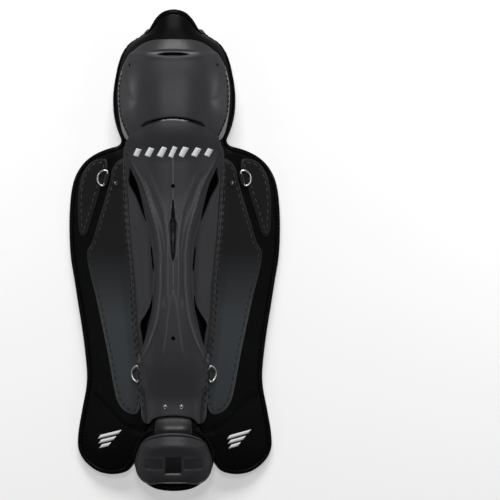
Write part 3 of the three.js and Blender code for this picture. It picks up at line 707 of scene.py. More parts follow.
@dataclass(frozen=True)
class Plastic:
    """Moulded satin plastic with a fine grain, with painted highlights and painted shade from a mask."""

    name: str
    colour: tuple[float, float, float]
    # The next colour is the painted highlight's, and the one after it the painted shade's.
    painted_highlight: tuple[float, float, float]
    shaded: tuple[float, float, float]
    roughness: float
    grain_depth: float = 0.00002

    def make(self, effects: Effects) -> bpy.types.Material:
        """Build the material."""
        shader = Shader(self.name)
        # A mask on the piece paints highlights (above 0) and shade (below 0) into the base colour; painted shade
        # also lowers the roughness.
        painted_mask = shader.mask("rub")
        dust = shader.group(effects.dust, Scale=16.0).outputs["Value"]
        painted_lit = shader.blend(shader.ramp(painted_mask, (0.0, 1.0), (0.0, 1.0)), self.colour, self.painted_highlight)
        body = shader.blend(shader.ramp(painted_mask, (0.0, -1.0), (0.0, 1.0)), painted_lit, self.shaded)
        shader.link(body, shader.surface.inputs["Base Color"])
        span = (self.roughness - 0.02, self.roughness + 0.03)
        satin = shader.ramp(dust, (0.12, 0.42), span)
        sheer = shader.ramp(painted_mask, (0.0, -1.0), (0.0, -0.2))
        shader.set(Specular_IOR_Level=0.4)
        shader.link(shader.add(satin, sheer), shader.surface.inputs["Roughness"])
        grain = shader.group(effects.grain, Scale=1500.0, Cloud=0.6).outputs["Value"]
        shader.bump(grain, self.grain_depth, 0.5)
        return shader.material


@dataclass(frozen=True)
class Vinyl:
    """Coated cloth over padding: pebbled, with a soft gloss."""

    name: str
    colour: tuple[float, float, float]
    roughness: float
    depth: float
    grain_scale: float = 1100.0

    def make(self, effects: Effects) -> bpy.types.Material:
        """Build the material."""
        shader = Shader(self.name)
        shader.set(Base_Color=(*self.colour, 1.0), Specular_IOR_Level=0.07)
        dust = shader.group(effects.dust, Scale=11.0).outputs["Value"]
        span = (self.roughness - 0.03, self.roughness + 0.06)
        shader.link(shader.ramp(dust, (0.12, 0.42), span), shader.surface.inputs["Roughness"])
        grain = shader.group(effects.grain, Scale=self.grain_scale, Cloud=0.8).outputs["Value"]
        shader.bump(grain, self.depth, 0.6)
        return shader.material


@dataclass(frozen=True)
class Knit:
    """Woven or knitted cloth with a diagonal thread."""

    name: str
    colour: tuple[float, float, float]
    shadow: tuple[float, float, float]
    threads: float
    depth: float

    def make(self, effects: Effects) -> bpy.types.Material:
        """Build the material."""
        shader = Shader(self.name)
        weave = shader.group(effects.weave, Threads=self.threads).outputs["Value"]
        shader.link(shader.blend(weave, self.shadow, self.colour), shader.surface.inputs["Base Color"])
        shader.set(Roughness=0.92, Sheen_Weight=0.15, Sheen_Roughness=0.5)
        shader.bump(weave, self.depth)
        return shader.material


@dataclass(frozen=True)
class Metal:
    """Plated or bare wire and rivets."""

    name: str
    colour: tuple[float, float, float]
    roughness: float

    def make(self, effects: Effects) -> bpy.types.Material:
        """Build the material."""
        shader = Shader(self.name)
        shader.set(Base_Color=(*self.colour, 1.0), Metallic=1.0)
        dust = shader.group(effects.dust, Scale=90.0).outputs["Value"]
        span = (self.roughness, self.roughness + 0.12)
        shader.link(shader.ramp(dust, (0.1, 0.45), span), shader.surface.inputs["Roughness"])
        return shader.material


@dataclass(frozen=True)
class Thread:
    """Sewn thread with painted light: greyer towards the knee, darker towards the foot."""

    name: str
    upper: tuple[float, float, float]
    lower: tuple[float, float, float]

    def make(self, effects: Effects) -> bpy.types.Material:
        """Build the material."""
        shader = Shader(self.name)
        # Painted light and shade: the thread's colour changes along the guard.
        share = shader.along(0.05, -0.06)
        shader.link(shader.blend(share, self.upper, self.lower), shader.surface.inputs["Base Color"])
        shader.set(Roughness=0.5, Specular_IOR_Level=0.4)
        twist = shader.group(effects.weave, Threads=5200.0).outputs["Value"]
        shader.bump(twist, 0.0001)
        return shader.material


@dataclass(frozen=True)
class PanelSheet:
    """Dark sewn sheet with a painted reflection that makes it lighter and bluer towards the foot, smoother there
    too, and a painted highlight along its edge.
    """

    name: str
    upper: tuple[float, float, float]
    lower: tuple[float, float, float]
    upper_edge: tuple[float, float, float]
    lower_edge: tuple[float, float, float]

    def make(self, effects: Effects) -> bpy.types.Material:
        """Build the material."""
        shader = Shader(self.name)
        # The lower colour is a painted reflection; the edge colours are a painted highlight along the rim.
        share = shader.along(0.00, -0.085)
        body = shader.blend(share, self.upper, self.lower)
        edge = shader.blend(share, self.upper_edge, self.lower_edge)
        shader.link(shader.blend(shader.mask("rub"), body, edge), shader.surface.inputs["Base Color"])
        shader.set(Specular_IOR_Level=0.2)
        shader.link(shader.ramp(share, (0.0, 1.0), (0.42, 0.34)), shader.surface.inputs["Roughness"])
        grain = shader.group(effects.grain, Scale=1300.0, Cloud=0.7).outputs["Value"]
        shader.bump(grain, 0.00002, 0.5)
        return shader.material


@dataclass
class Finishes:
    """Every material of the guard, made once."""

    effects: Effects = field(default_factory=lambda: Effects(make_grain(), make_weave(), make_dust()))

    def __post_init__(self) -> None:
        """Make the materials."""
        charcoal, shade_black = (0.035, 0.0355, 0.039), (0.002, 0.002, 0.0022)
        made = {
            # Each plastic's second colour is its painted highlight and its third its painted shade.
            "shell": Plastic("charcoal_shell", charcoal, (0.115, 0.117, 0.126), shade_black, 0.40),
            "cap_shell": Plastic("charcoal_cap", charcoal, (0.36, 0.365, 0.385), shade_black, 0.40),
            # The panel's lower colour is a painted reflection and its two edge colours a painted highlight.
            "panel": PanelSheet("panel_sheet", (0.0085, 0.0090, 0.0088), (0.044, 0.050, 0.055),
                                (0.016, 0.017, 0.017), (0.085, 0.095, 0.103)),
            "vinyl": Vinyl("black_pad_vinyl", (0.0030, 0.0032, 0.0032), 0.38, 0.00006),
            "tape": Vinyl("black_binding_tape", (0.0022, 0.0022, 0.0026), 0.30, 0.00003, 1600.0),
            "mesh": Knit("grey_back_cloth", (0.40, 0.40, 0.43), (0.24, 0.24, 0.26), 2600.0, 0.0002),
            "liner": Knit("black_liner_cloth", (0.016, 0.016, 0.018), (0.006, 0.006, 0.007), 3200.0, 0.00015),
            "webbing": Knit("ring_webbing", (0.008, 0.008, 0.009), (0.003, 0.003, 0.003), 4200.0, 0.0002),
            "thread": Thread("black_thread", (0.004, 0.004, 0.004), (0.003, 0.003, 0.003)),
            # The panel thread's colours are painted light: grey towards the knee, near black towards the foot.
            "panel_thread": Thread("panel_thread", (0.085, 0.085, 0.08), (0.002, 0.002, 0.002)),
            "print": Vinyl("white_transfer", (0.95, 0.96, 0.98), 0.5, 0.00001, 1800.0),
            "chrome": Metal("bright_wire", (0.80, 0.80, 0.81), 0.26),
            "rivet": Metal("dull_rivet", (0.55, 0.55, 0.57), 0.30),
        }
        for key, finish in made.items():
            setattr(self, key, finish.make(self.effects))


# Shared layers

def panel_top(u: np.ndarray, v: np.ndarray) -> np.ndarray:
    """The lift of the sewn panels' front."""
    return SEAT + PANEL_EASE * smooth(0.24, 0.36, v / HALF_LENGTH) + PANEL_THICKNESS


class Side(Enum):
    """Left and right as seen from the front."""

    LEFT = -1
    RIGHT = 1


PAD_PATTERN = (
    (0.000, 1.000), (0.060, 0.997), (0.120, 0.988), (0.185, 0.968), (0.245, 0.945), (0.300, 0.928),
    (0.345, 0.920), (0.395, 0.924), (0.460, 0.929), (0.525, 0.916), (0.580, 0.885), (0.620, 0.838),
    (0.655, 0.780), (0.684, 0.710), (0.690, 0.640), (0.667, 0.570), (0.616, 0.510), (0.574, 0.475),
    (0.555, 0.455), (0.590, 0.438), (0.680, 0.428), (0.770, 0.416), (0.855, 0.398), (0.935, 0.370),
    (1.010, 0.322), (1.050, 0.270), (1.075, 0.180), (1.082, 0.080), (1.070, -0.030), (1.030, -0.130),
    (0.990, -0.230), (0.948, -0.330), (0.912, -0.430), (0.890, -0.520), (0.895, -0.575), (0.935, -0.670),
    (0.973, -0.770), (0.975, -0.830), (0.940, -0.870), (0.870, -0.905), (0.780, -0.930), (0.680, -0.941),
    (0.570, -0.939), (0.480, -0.925), (0.425, -0.897), (0.380, -0.855), (0.320, -0.800), (0.265, -0.755),
    (0.220, -0.722), (0.150, -0.703), (0.000, -0.697),
)


@dataclass
class Stitching:
    """Runs of sewn thread laid over a surface, joined into one piece."""

    name: str
    thread: float = 0.95
    long: float = 6.4
    gap: float = 2.4
    sides: int = 6
    parts: list = field(default_factory=list)

    def run(self, line: np.ndarray, lift: Lift, closed: bool = False) -> None:
        """Add a run of stitches.

        Args:
            line: flat-pattern points of the seam.
            lift: the surface that the thread lies on.
            closed: whether the seam closes on itself.
        """
        reach = length_of(line, closed)
        count = max(1, int(reach / (self.long + self.gap)))
        fine = evenly(line, max(40, int(reach / 0.5)), closed)
        run = np.concatenate([[0.0], np.cumsum(np.linalg.norm(np.diff(fine, axis=0), axis=1))])
        pitch = run[-1] / count
        for k in range(count):
            start = k * pitch + self.gap / 2
            at = np.linspace(start, start + pitch - self.gap, 6)
            u, v = np.interp(at, run, fine[:, 0]), np.interp(at, run, fine[:, 1])
            dip = np.array([-0.9, 0.15, 0.42, 0.42, 0.15, -0.9]) * self.thread
            width = np.array([0.55, 0.95, 1.0, 1.0, 0.95, 0.55]) * self.thread / 2
            middle = FORM.lay(u, v, lift(u, v) + dip)
            along = np.gradient(middle, axis=0)
            along /= np.linalg.norm(along, axis=1, keepdims=True)
            up = FORM.normal(u, v)
            beside = np.cross(along, up)
            beside /= np.linalg.norm(beside, axis=1, keepdims=True)
            turns = np.arange(self.sides) / self.sides * 2 * np.pi
            ring = (beside[:, None] * np.cos(turns)[None, :, None]
                    + up[:, None] * np.sin(turns)[None, :, None] * 0.8)
            self.parts.append(middle[:, None] + ring * width[:, None, None] * MM)

    def finish(self, finish: bpy.types.Material, slot: str) -> bpy.types.Object:
        """Join all runs into the piece."""
        rings = np.array(self.parts)
        many, count, sides = rings.shape[:3]
        index = np.arange(many * count * sides).reshape(many, count, sides)
        faces = []
        for block in index:
            for i in range(count - 1):
                for k in range(sides):
                    after = (k + 1) % sides
                    faces.append((block[i, k], block[i, after], block[i + 1, after], block[i + 1, k]))
            faces.append(tuple(block[0][::-1]))
            faces.append(tuple(block[-1]))
        piece = new_mesh(self.name, rings.reshape(-1, 3), faces)
        choose(piece)
        bpy.ops.object.mode_set(mode="EDIT")
        bpy.ops.mesh.select_all(action="SELECT")
        bpy.ops.mesh.normals_make_consistent(inside=False)
        bpy.ops.object.mode_set(mode="OBJECT")
        return settle(piece, finish)


@dataclass
class PaddedBody:
    """The main pad: vinyl front, grey cloth back quilted by its seams, and its bound edge."""

    finishes: Finishes
    net: float = 3.2
    edge_tuck: float = 1.8
    crease_depth: float = 1.5
    # The back's seams in flat-pattern shares, right side
    flange_seam: tuple = ((0.415, 0.20), (0.40, -0.02), (0.365, -0.165), (0.328, -0.29), (0.25, -0.425),
                          (0.232, -0.54), (0.22, -0.665))
    panel_seam: tuple = ((0.535, 0.365), (0.512, 0.067), (0.483, -0.107), (0.455, -0.282), (0.375, -0.48),
                         (0.335, -0.6), (0.31, -0.68), (0.41, -0.664), (0.475, -0.64), (0.53, -0.535),
                         (0.615, -0.394), (0.70, -0.27), (0.745, -0.183), (0.80, -0.09), (0.838, -0.028),
                         (0.80, 0.067), (0.737, 0.167), (0.652, 0.254), (0.585, 0.345))
    fin_seam: tuple = ((0.745, 0.374), (0.775, 0.27), (0.83, 0.183), (0.895, 0.088), (0.92, 0.067),
                       (0.962, 0.084), (0.967, 0.183), (0.96, 0.254), (0.93, 0.312), (0.855, 0.353))
    waist_seam: tuple = ((0.80, -0.61), (0.66, -0.67), (0.50, -0.735), (0.30, -0.762))

    def __post_init__(self) -> None:
        """Work out the outline and the seams."""
        self.outline = loop_of(flat_pattern(mirrored(PAD_PATTERN)), 2.4)
        self.seams = []
        for side in Side:
            for shares, closed in ((self.flange_seam, False), (self.panel_seam, True),
                                   (self.fin_seam, True), (self.waist_seam, False)):
                line = flat_pattern([(side.value * u, v) for u, v in shares])
                self.seams.append((rounded(line, closed), closed))

    def _edge(self, u: np.ndarray, v: np.ndarray) -> np.ndarray:
        """Distance from the pad's outline."""
        return from_edge(np.stack([u, v], axis=1), self.outline)

    def _seam_dip(self, u: np.ndarray, v: np.ndarray, reach: float, waist_only: bool) -> np.ndarray:
        """How far the seams pull the cloth in, 0 to 1."""
        places = np.stack([u, v], axis=1)
        dip = np.zeros(len(u))
        for number, (line, closed) in enumerate(self.seams):
            if waist_only and number % 4 != 3:
                continue
            coarse = evenly(line, max(12, int(length_of(line, closed) / 6)), closed)
            dip = np.maximum(dip, hump(reach, from_edge(places, coarse, closed)))
        return dip

    def front(self, u: np.ndarray, v: np.ndarray) -> np.ndarray:
        """The vinyl's lift: tucked at the edge, puffed beside the panels, creased at the waist."""
        edge = self._edge(u, v)
        lobe = 1.4 * smooth(-0.62, -0.75, v / HALF_LENGTH) * smooth(4.0, 30.0, edge)
        crease = self.crease_depth * self._seam_dip(u, v, 2.6, True)
        wrinkle = 0.16 * np.sin(v * 0.11 + 0.05 * u) * np.sin(u * 0.07) * smooth(4.0, 12.0, edge)
        puff = 0.25 * smooth(3.0, 12.0, edge)
        return -self.edge_tuck * (1 - smooth(0.0, 9.0, edge)) + lobe + puff * 0.6 + wrinkle - crease

    def back(self, u: np.ndarray, v: np.ndarray) -> np.ndarray:
        """The cloth's lift: quilted between its seams."""
        edge = self._edge(u, v)
        dip = 1.6 * self._seam_dip(u, v, 4.0, False)
        pucker = 0.25 * np.sin(v * 0.55) * self._seam_dip(u, v, 7.0, False)
        return -PAD_THICKNESS + 1.6 * (1 - smooth(0.0, 10.0, edge)) - 0.5 * smooth(8.0, 30.0, edge) + dip + pucker

    def build(self) -> None:
        """Make the pad, its binding and the back's stitching."""
        pad, _, count = slab("main_pad_body", inset(self.outline, 1.8), self.net, self.front, self.back)
        cover_back(pad, count, self.finishes)
        settle(pad, self.finishes.vinyl, ["main_pad"])
        bind("main_edge_binding", self.outline, self.finishes, lambda u, v: 0 * u,
             lambda u, v: 0 * u - PAD_THICKNESS, ["main_binding"])
        stitches = Stitching("back_cloth_stitches", thread=1.5, long=5.4, gap=2.8)
        for line, closed in self.seams:
            stitches.run(line, lambda u, v: self.back(u, v) - 0.45, closed)
        stitches.finish(self.finishes.thread, "tab_webbing")


def cover_back(pad: bpy.types.Object, count: int, finishes: Finishes) -> None:
    """Give a pad its vinyl and, on the faces whose points follow the front's, its grey cloth.

    Args:
        pad: the slab.
        count: how many points its front has.
        finishes: the guard's materials.
    """
    pad.data.materials.append(finishes.vinyl)
    pad.data.materials.append(finishes.mesh)
    lowest = np.array([min(p.vertices) for p in pad.data.polygons])
    on_back = (lowest >= count) & (lowest < 2 * count)
    pad.data.polygons.foreach_set("material_index", on_back.astype(np.int32))


def bind(name: str, outline: np.ndarray, finishes: Finishes, high: Lift, low: Lift,
         replaces: Sequence[str], back_width: float = 8.4) -> bpy.types.Object:
    """The folded tape round a pad's edge, with its small puckers.

    Args:
        name: the piece's name.
        outline: the counterclockwise rim.
        finishes: the guard's materials.
        high: the pad's front face.
        low: the pad's back face.
        replaces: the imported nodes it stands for.
        back_width: how far the tape reaches in at the back.

    Returns:
        The piece.
    """
    outer = ((BINDING_WIDTH, 0.55, 1), (4.4, 0.95, 1), (2.6, 0.85, 1), (1.1, 0.1, 1), (0.25, -1.3, 1),
             (0.0, -3.0, 1), (0.0, 3.0, 0), (0.3, 1.3, 0), (1.3, -0.1, 0), (3.0, -0.85, 0),
             (back_width - 1.6, -1.0, 0), (back_width, -0.6, 0))
    inner = ((back_width, 0.3, 0), (3.2, 0.35, 0), (1.9, 1.2, 0), (1.3, 3.0, 0), (1.3, -3.0, 1),
             (1.8, -1.2, 1), (3.0, -0.3, 1), (BINDING_WIDTH, -0.45, 1))
    count = len(outline)
    run = np.arange(count)
    pucker = 0.10 * np.sin(run * 1.9) + 0.08 * np.sin(run * 0.83 + 1.0)
    columns = []
    for reach, rise, is_front in outer + inner:
        place = inset(outline, reach)
        u, v = place[:, 0], place[:, 1]
        base = high(u, v) if is_front else low(u, v)
        sign = 1 if is_front else -1
        columns.append(FORM.lay(u, v, base + rise + sign * pucker * min(1.0, reach / 2)))
    rings = np.stack(columns, axis=1)[:, ::-1]
    piece = hoop(name, rings)
    settle(piece, finishes.tape, replaces)
    seam = Stitching(f"{name}_stitches", thread=0.7, long=3.4, gap=1.6, sides=4)
    line = inset(outline, BINDING_WIDTH - 1.0)
    seam.run(line, lambda u, v: high(u, v) + 0.75, closed=True)
    seam.finish(finishes.thread, "tab_webbing")
    return piece


@dataclass
class Liner:
    """The keyhole cushion against the leg: piped rim, creased knee part and grooved tail."""

    finishes: Finishes
    front_seat: float = PAD_THICKNESS + 2 * SEAT
    thickness: float = 11.0
    ease: float = 2.5
    net: float = 2.2
    pattern: tuple = (
        (0.000, 0.886), (0.120, 0.884), (0.240, 0.872), (0.360, 0.847), (0.450, 0.810), (0.515, 0.755),
        (0.548, 0.690), (0.552, 0.620), (0.520, 0.555), (0.455, 0.505), (0.395, 0.460), (0.355, 0.410),
        (0.335, 0.340), (0.320, 0.210), (0.290, 0.020), (0.255, -0.180), (0.230, -0.370), (0.215, -0.540),
        (0.185, -0.610), (0.110, -0.645), (0.000, -0.652),
    )
    knee_square: tuple = ((0.175, 0.745), (0.235, 0.72), (0.24, 0.60), (0.18, 0.565), (0.0, 0.56))
    corners: tuple = ((0.43, 0.80), (0.42, 0.545))
    groove: tuple = ((0.150, 0.50), (0.140, 0.30), (0.115, 0.0), (0.085, -0.30), (0.052, -0.56))

    def __post_init__(self) -> None:
        """Work out the outline and the moulded lines."""
        self.outline = loop_of(flat_pattern(mirrored(self.pattern)), 2.0)
        square = flat_pattern(mirrored(((0.0, 0.75),) + self.knee_square))
        self.lines = [(rounded(square, True), True)]
        for side in Side:
            sided = lambda shares: flat_pattern([(side.value * u, v) for u, v in shares])
            self.lines.append((rounded(sided(self.groove), False), False))
            for corner, near in zip(self.corners, ((0.225, 0.728), (0.225, 0.585))):
                self.lines.append((evenly(sided((near, corner)), 20), False))

    def front(self, u: np.ndarray, v: np.ndarray) -> np.ndarray:
        """The hidden face against the pad."""
        return -self.front_seat - self.ease * smooth(0.7, 0.86, v / HALF_LENGTH)

    def back(self, u: np.ndarray, v: np.ndarray) -> np.ndarray:
        """The face against the leg."""
        places = np.stack([u, v], axis=1)
        edge = from_edge(places, self.outline)
        dip = np.zeros(len(u))
        for line, closed in self.lines:
            coarse = evenly(line, max(10, int(length_of(line, closed) / 5)), closed)
            dip = np.maximum(dip, hump(3.2, from_edge(places, coarse, closed)))
        crown = 4.2 * (1 - smooth(0.0, 16.0, edge))
        return self.front(u, v) - self.thickness + crown + 2.2 * dip * smooth(3.0, 9.0, edge)

    def build(self) -> None:
        """Make the cushion, its piping and its print."""
        piece, _, _ = slab("leg_cushion", self.outline, self.net, self.front, self.back)
        settle(piece, self.finishes.liner, ["leg_liner"])
        self._pipe()
        self._marks()

    def _pipe(self) -> None:
        """The raised cord in the cushion's rim."""
        line = inset(self.outline, 0.9)
        u, v = line[:, 0], line[:, 1]
        middle = FORM.lay(u, v, self.back(u, v) - 0.3)
        piece = round_wire("cushion_piping", middle, FORM.normal(u, v), 1.7 * MM, 8)
        settle(piece, self.finishes.tape)

    def _marks(self) -> None:
        """Small printed bars in leaning rows, each row leaning the other way."""
        marks = Transfer("cushion_marks", self.finishes)
        rows = np.arange(-0.60 * HALF_LENGTH, 0.85 * HALF_LENGTH, 9.5)
        for number, v in enumerate(rows):
            places = np.array([((column + 0.5 * (number % 2)) * 14.0, v) for column in range(-5, 6)])
            clear = inside(places, self.outline) & (from_edge(places, self.outline) > 8.5)
            for place in places[clear]:
                turn = 28.0 if number % 2 else -28.0
                marks.bar(tuple(place), 4.4, 1.05, turn, lambda a, b: self.back(a, b) - 0.12, back=True)
        marks.finish()


@dataclass
class Transfer:
    """Plain printed bars laid on a surface."""

    name: str
    finishes: Finishes
    points: list = field(default_factory=list)
    faces: list = field(default_factory=list)

    def bar(self, middle: Pair, half_length: float, half_width: float, turn: float, lift: Lift,
            back: bool = False, slant: float = 0.0) -> None:
        """Add one bar.

        Args:
            middle: its flat-pattern place.
            half_length: half its length along its own direction.
            half_width: half its width.
            turn: its direction in degrees from the u axis.
            lift: the height that it lies at.
            back: whether it faces the leg.
            slant: how far its ends lean, as a shift along its length for each half width.
        """
        steps, rows = 10, 3
        a, b = np.meshgrid(np.linspace(-1, 1, steps), np.linspace(-1, 1, rows))
        along = a.ravel() * half_length + b.ravel() * slant * half_width
        side = b.ravel() * half_width
        c, s = math.cos(math.radians(turn)), math.sin(math.radians(turn))
        u, v = middle[0] + along * c - side * s, middle[1] + along * s + side * c
        start = sum(len(p) for p in self.points)
        self.points.append(FORM.lay(u, v, lift(u, v)))
        for j in range(rows - 1):
            for i in range(steps - 1):
                k = start + j * steps + i
                face = (k, k + 1, k + steps + 1, k + steps)
                self.faces.append(face[::-1] if back else face)

    def finish(self) -> None:
        """Make the piece, a thin film with a closed edge."""
        piece = new_mesh(self.name, np.vstack(self.points), self.faces)
        apply_modifier(piece, "SOLIDIFY", thickness=0.0001, offset=-1.0)
        settle(piece, self.finishes.print)


# Moulded shells

def coons(sides: dict[str, np.ndarray], s: np.ndarray, t: np.ndarray) -> np.ndarray:
    """Blend four edge lines over a square.

    Args:
        sides: bottom and top run left to right, left and right run bottom to top.
        s: share across, 0 to 1.
        t: share along, 0 to 1.

    Returns:
        The flat places.
    """
    def at(line: np.ndarray, share: np.ndarray) -> np.ndarray:
        keys = np.linspace(0.0, 1.0, len(line))
        return np.stack([np.interp(share, keys, line[:, k]) for k in range(2)], axis=1)
    bottom, top = at(sides["bottom"], s), at(sides["top"], s)
    left, right = at(sides["left"], t), at(sides["right"], t)
    s, t = s[:, None], t[:, None]
    flat = ((1 - t) * bottom + t * top + (1 - s) * left + s * right
            - (1 - s) * (1 - t) * sides["bottom"][0] - s * (1 - t) * sides["bottom"][-1]
            - (1 - s) * t * sides["top"][0] - s * t * sides["top"][-1])
    return flat


@dataclass
class Shell:
    """A moulded plastic shell: a grid laid on its outline, raised by its relief, given a wall."""

    name: str
    node: str
    finishes: Finishes
    half: tuple
    top_corner: int
    bottom_corner: int
    cells: tuple[int, int]
    seen_lift: float = SHELL_WALL
    finish_name: str = "shell"
    wall: float = SHELL_WALL
    edge_round: float = 0.7

    def laid(self, shares: Sequence[Pair]) -> np.ndarray:
        """Front-view shares laid on the shell's layer."""
        return front_view(shares, self.seen_lift)

    def sides(self) -> dict[str, np.ndarray]:
        """The outline's four edge lines in flat-pattern millimetres."""
        controls = self.laid(mirrored(self.half))
        steps = 14
        fine = rounded(controls, True, steps)
        top, bottom = self.top_corner * steps, self.bottom_corner * steps
        right_top = fine[:top + 1]
        right = fine[top:bottom + 1]
        lowest = (len(self.half) - 1) * steps
        right_bottom = fine[bottom:lowest + 1]
        flip = np.array([-1.0, 1.0])
        return {
            "top": evenly(np.vstack([right_top[:0:-1] * flip, right_top]), 200),
            "bottom": evenly(np.vstack([right_bottom[:-1] * flip, right_bottom[::-1]]), 200),
            "right": evenly(right[::-1], 400),
            "left": evenly(right[::-1] * flip, 400),
        }

    def relief(self, s: np.ndarray, t: np.ndarray, u: np.ndarray, v: np.ndarray) -> np.ndarray:
        """The outer face's lift; s runs from -1 to 1 across the shell."""
        raise NotImplementedError

    def surface(self) -> bpy.types.Object:
        """The outer face as a shaped grid."""
        deselect()
        bpy.ops.mesh.primitive_grid_add(x_subdivisions=self.cells[0], y_subdivisions=self.cells[1], size=1.0)
        piece = bpy.context.object
        piece.name = piece.data.name = self.name
        flat = np.empty(len(piece.data.vertices) * 3)
        piece.data.vertices.foreach_get("co", flat)
        grid = flat.reshape(-1, 3)
        s, t = grid[:, 0] + 0.5, grid[:, 1] + 0.5
        places = coons(self.sides(), s, t)
        u, v = places[:, 0], places[:, 1]
        across = 2 * s - 1
        points = FORM.lay(u, v, self.relief(across, t, u, v))
        piece.data.vertices.foreach_set("co", points.ravel())
        # A mask of painted highlights and painted shade for the plastic.
        keep_mask(piece, "rub", self.rub(across, t, u, v))
        piece.data.update()
        return piece

    def rub(self, s: np.ndarray, t: np.ndarray, u: np.ndarray, v: np.ndarray) -> np.ndarray:
        """Painted highlight along its rims."""
        rim = np.minimum(1 - np.abs(s), 2 * np.minimum(t, 1 - t))
        return 0.6 * (1 - smooth(0.0, 0.03, rim))

    def cutters(self) -> list[np.ndarray]:
        """Flat-pattern loops to cut through the shell."""
        return []

    def build(self) -> bpy.types.Object:
        """Make the shell."""
        piece = self.surface()
        apply_modifier(piece, "SOLIDIFY", thickness=self.wall * MM, offset=-1.0, use_even_offset=True)
        apply_modifier(piece, "BEVEL", width=self.edge_round * MM, segments=2, limit_method="ANGLE",
                       angle_limit=math.radians(50), use_clamp_overlap=True)
        loops = self.cutters()
        if loops:
            cutter = join([self._plug(loop) for loop in loops], "cutter")
            apply_modifier(piece, "BOOLEAN", operation="DIFFERENCE", object=cutter, solver="EXACT")
            bpy.data.objects.remove(cutter)
        shade(piece, 40)
        return settle(piece, getattr(self.finishes, self.finish_name), [self.node])

    def _plug(self, loop: np.ndarray) -> bpy.types.Object:
        """A closed plug that passes through the shell at a loop."""
        u, v = loop[:, 0], loop[:, 1]
        low, high = FORM.lay(u, v, 0.0), FORM.lay(u, v, 34.0)
        count = len(loop)
        faces = [tuple(range(count))[::-1], tuple(range(count, 2 * count))]
        faces += [(i, (i + 1) % count, count + (i + 1) % count, count + i) for i in range(count)]
        return new_mesh("plug", np.vstack([low, high]), faces)


class FittedShell(Shell):
    """A shell whose outline is laid where its own front shows it."""

    def laid(self, shares: Sequence[Pair]) -> np.ndarray:
        """Front-view shares laid where the shell's front shows them."""
        return laid_on(shares, lambda u, v: self.inner(u, v) + SHELL_WALL)


def round_hole(x: float, y: float, diameter: float, lift: float, stretch: Pair = (1.0, 1.0)) -> np.ndarray:
    """A hole's loop, seen from the front at shares of half the span and half the length."""
    turn = np.arange(20) / 20 * 2 * np.pi
    v = y * HALF_LENGTH
    u = float(FORM.across(np.array([x * HALF_SPAN]), np.array([v]), lift)[0])
    return np.stack([u + np.cos(turn) * diameter / 2 * stretch[0],
                     v + np.sin(turn) * diameter / 2 * stretch[1]], axis=1)


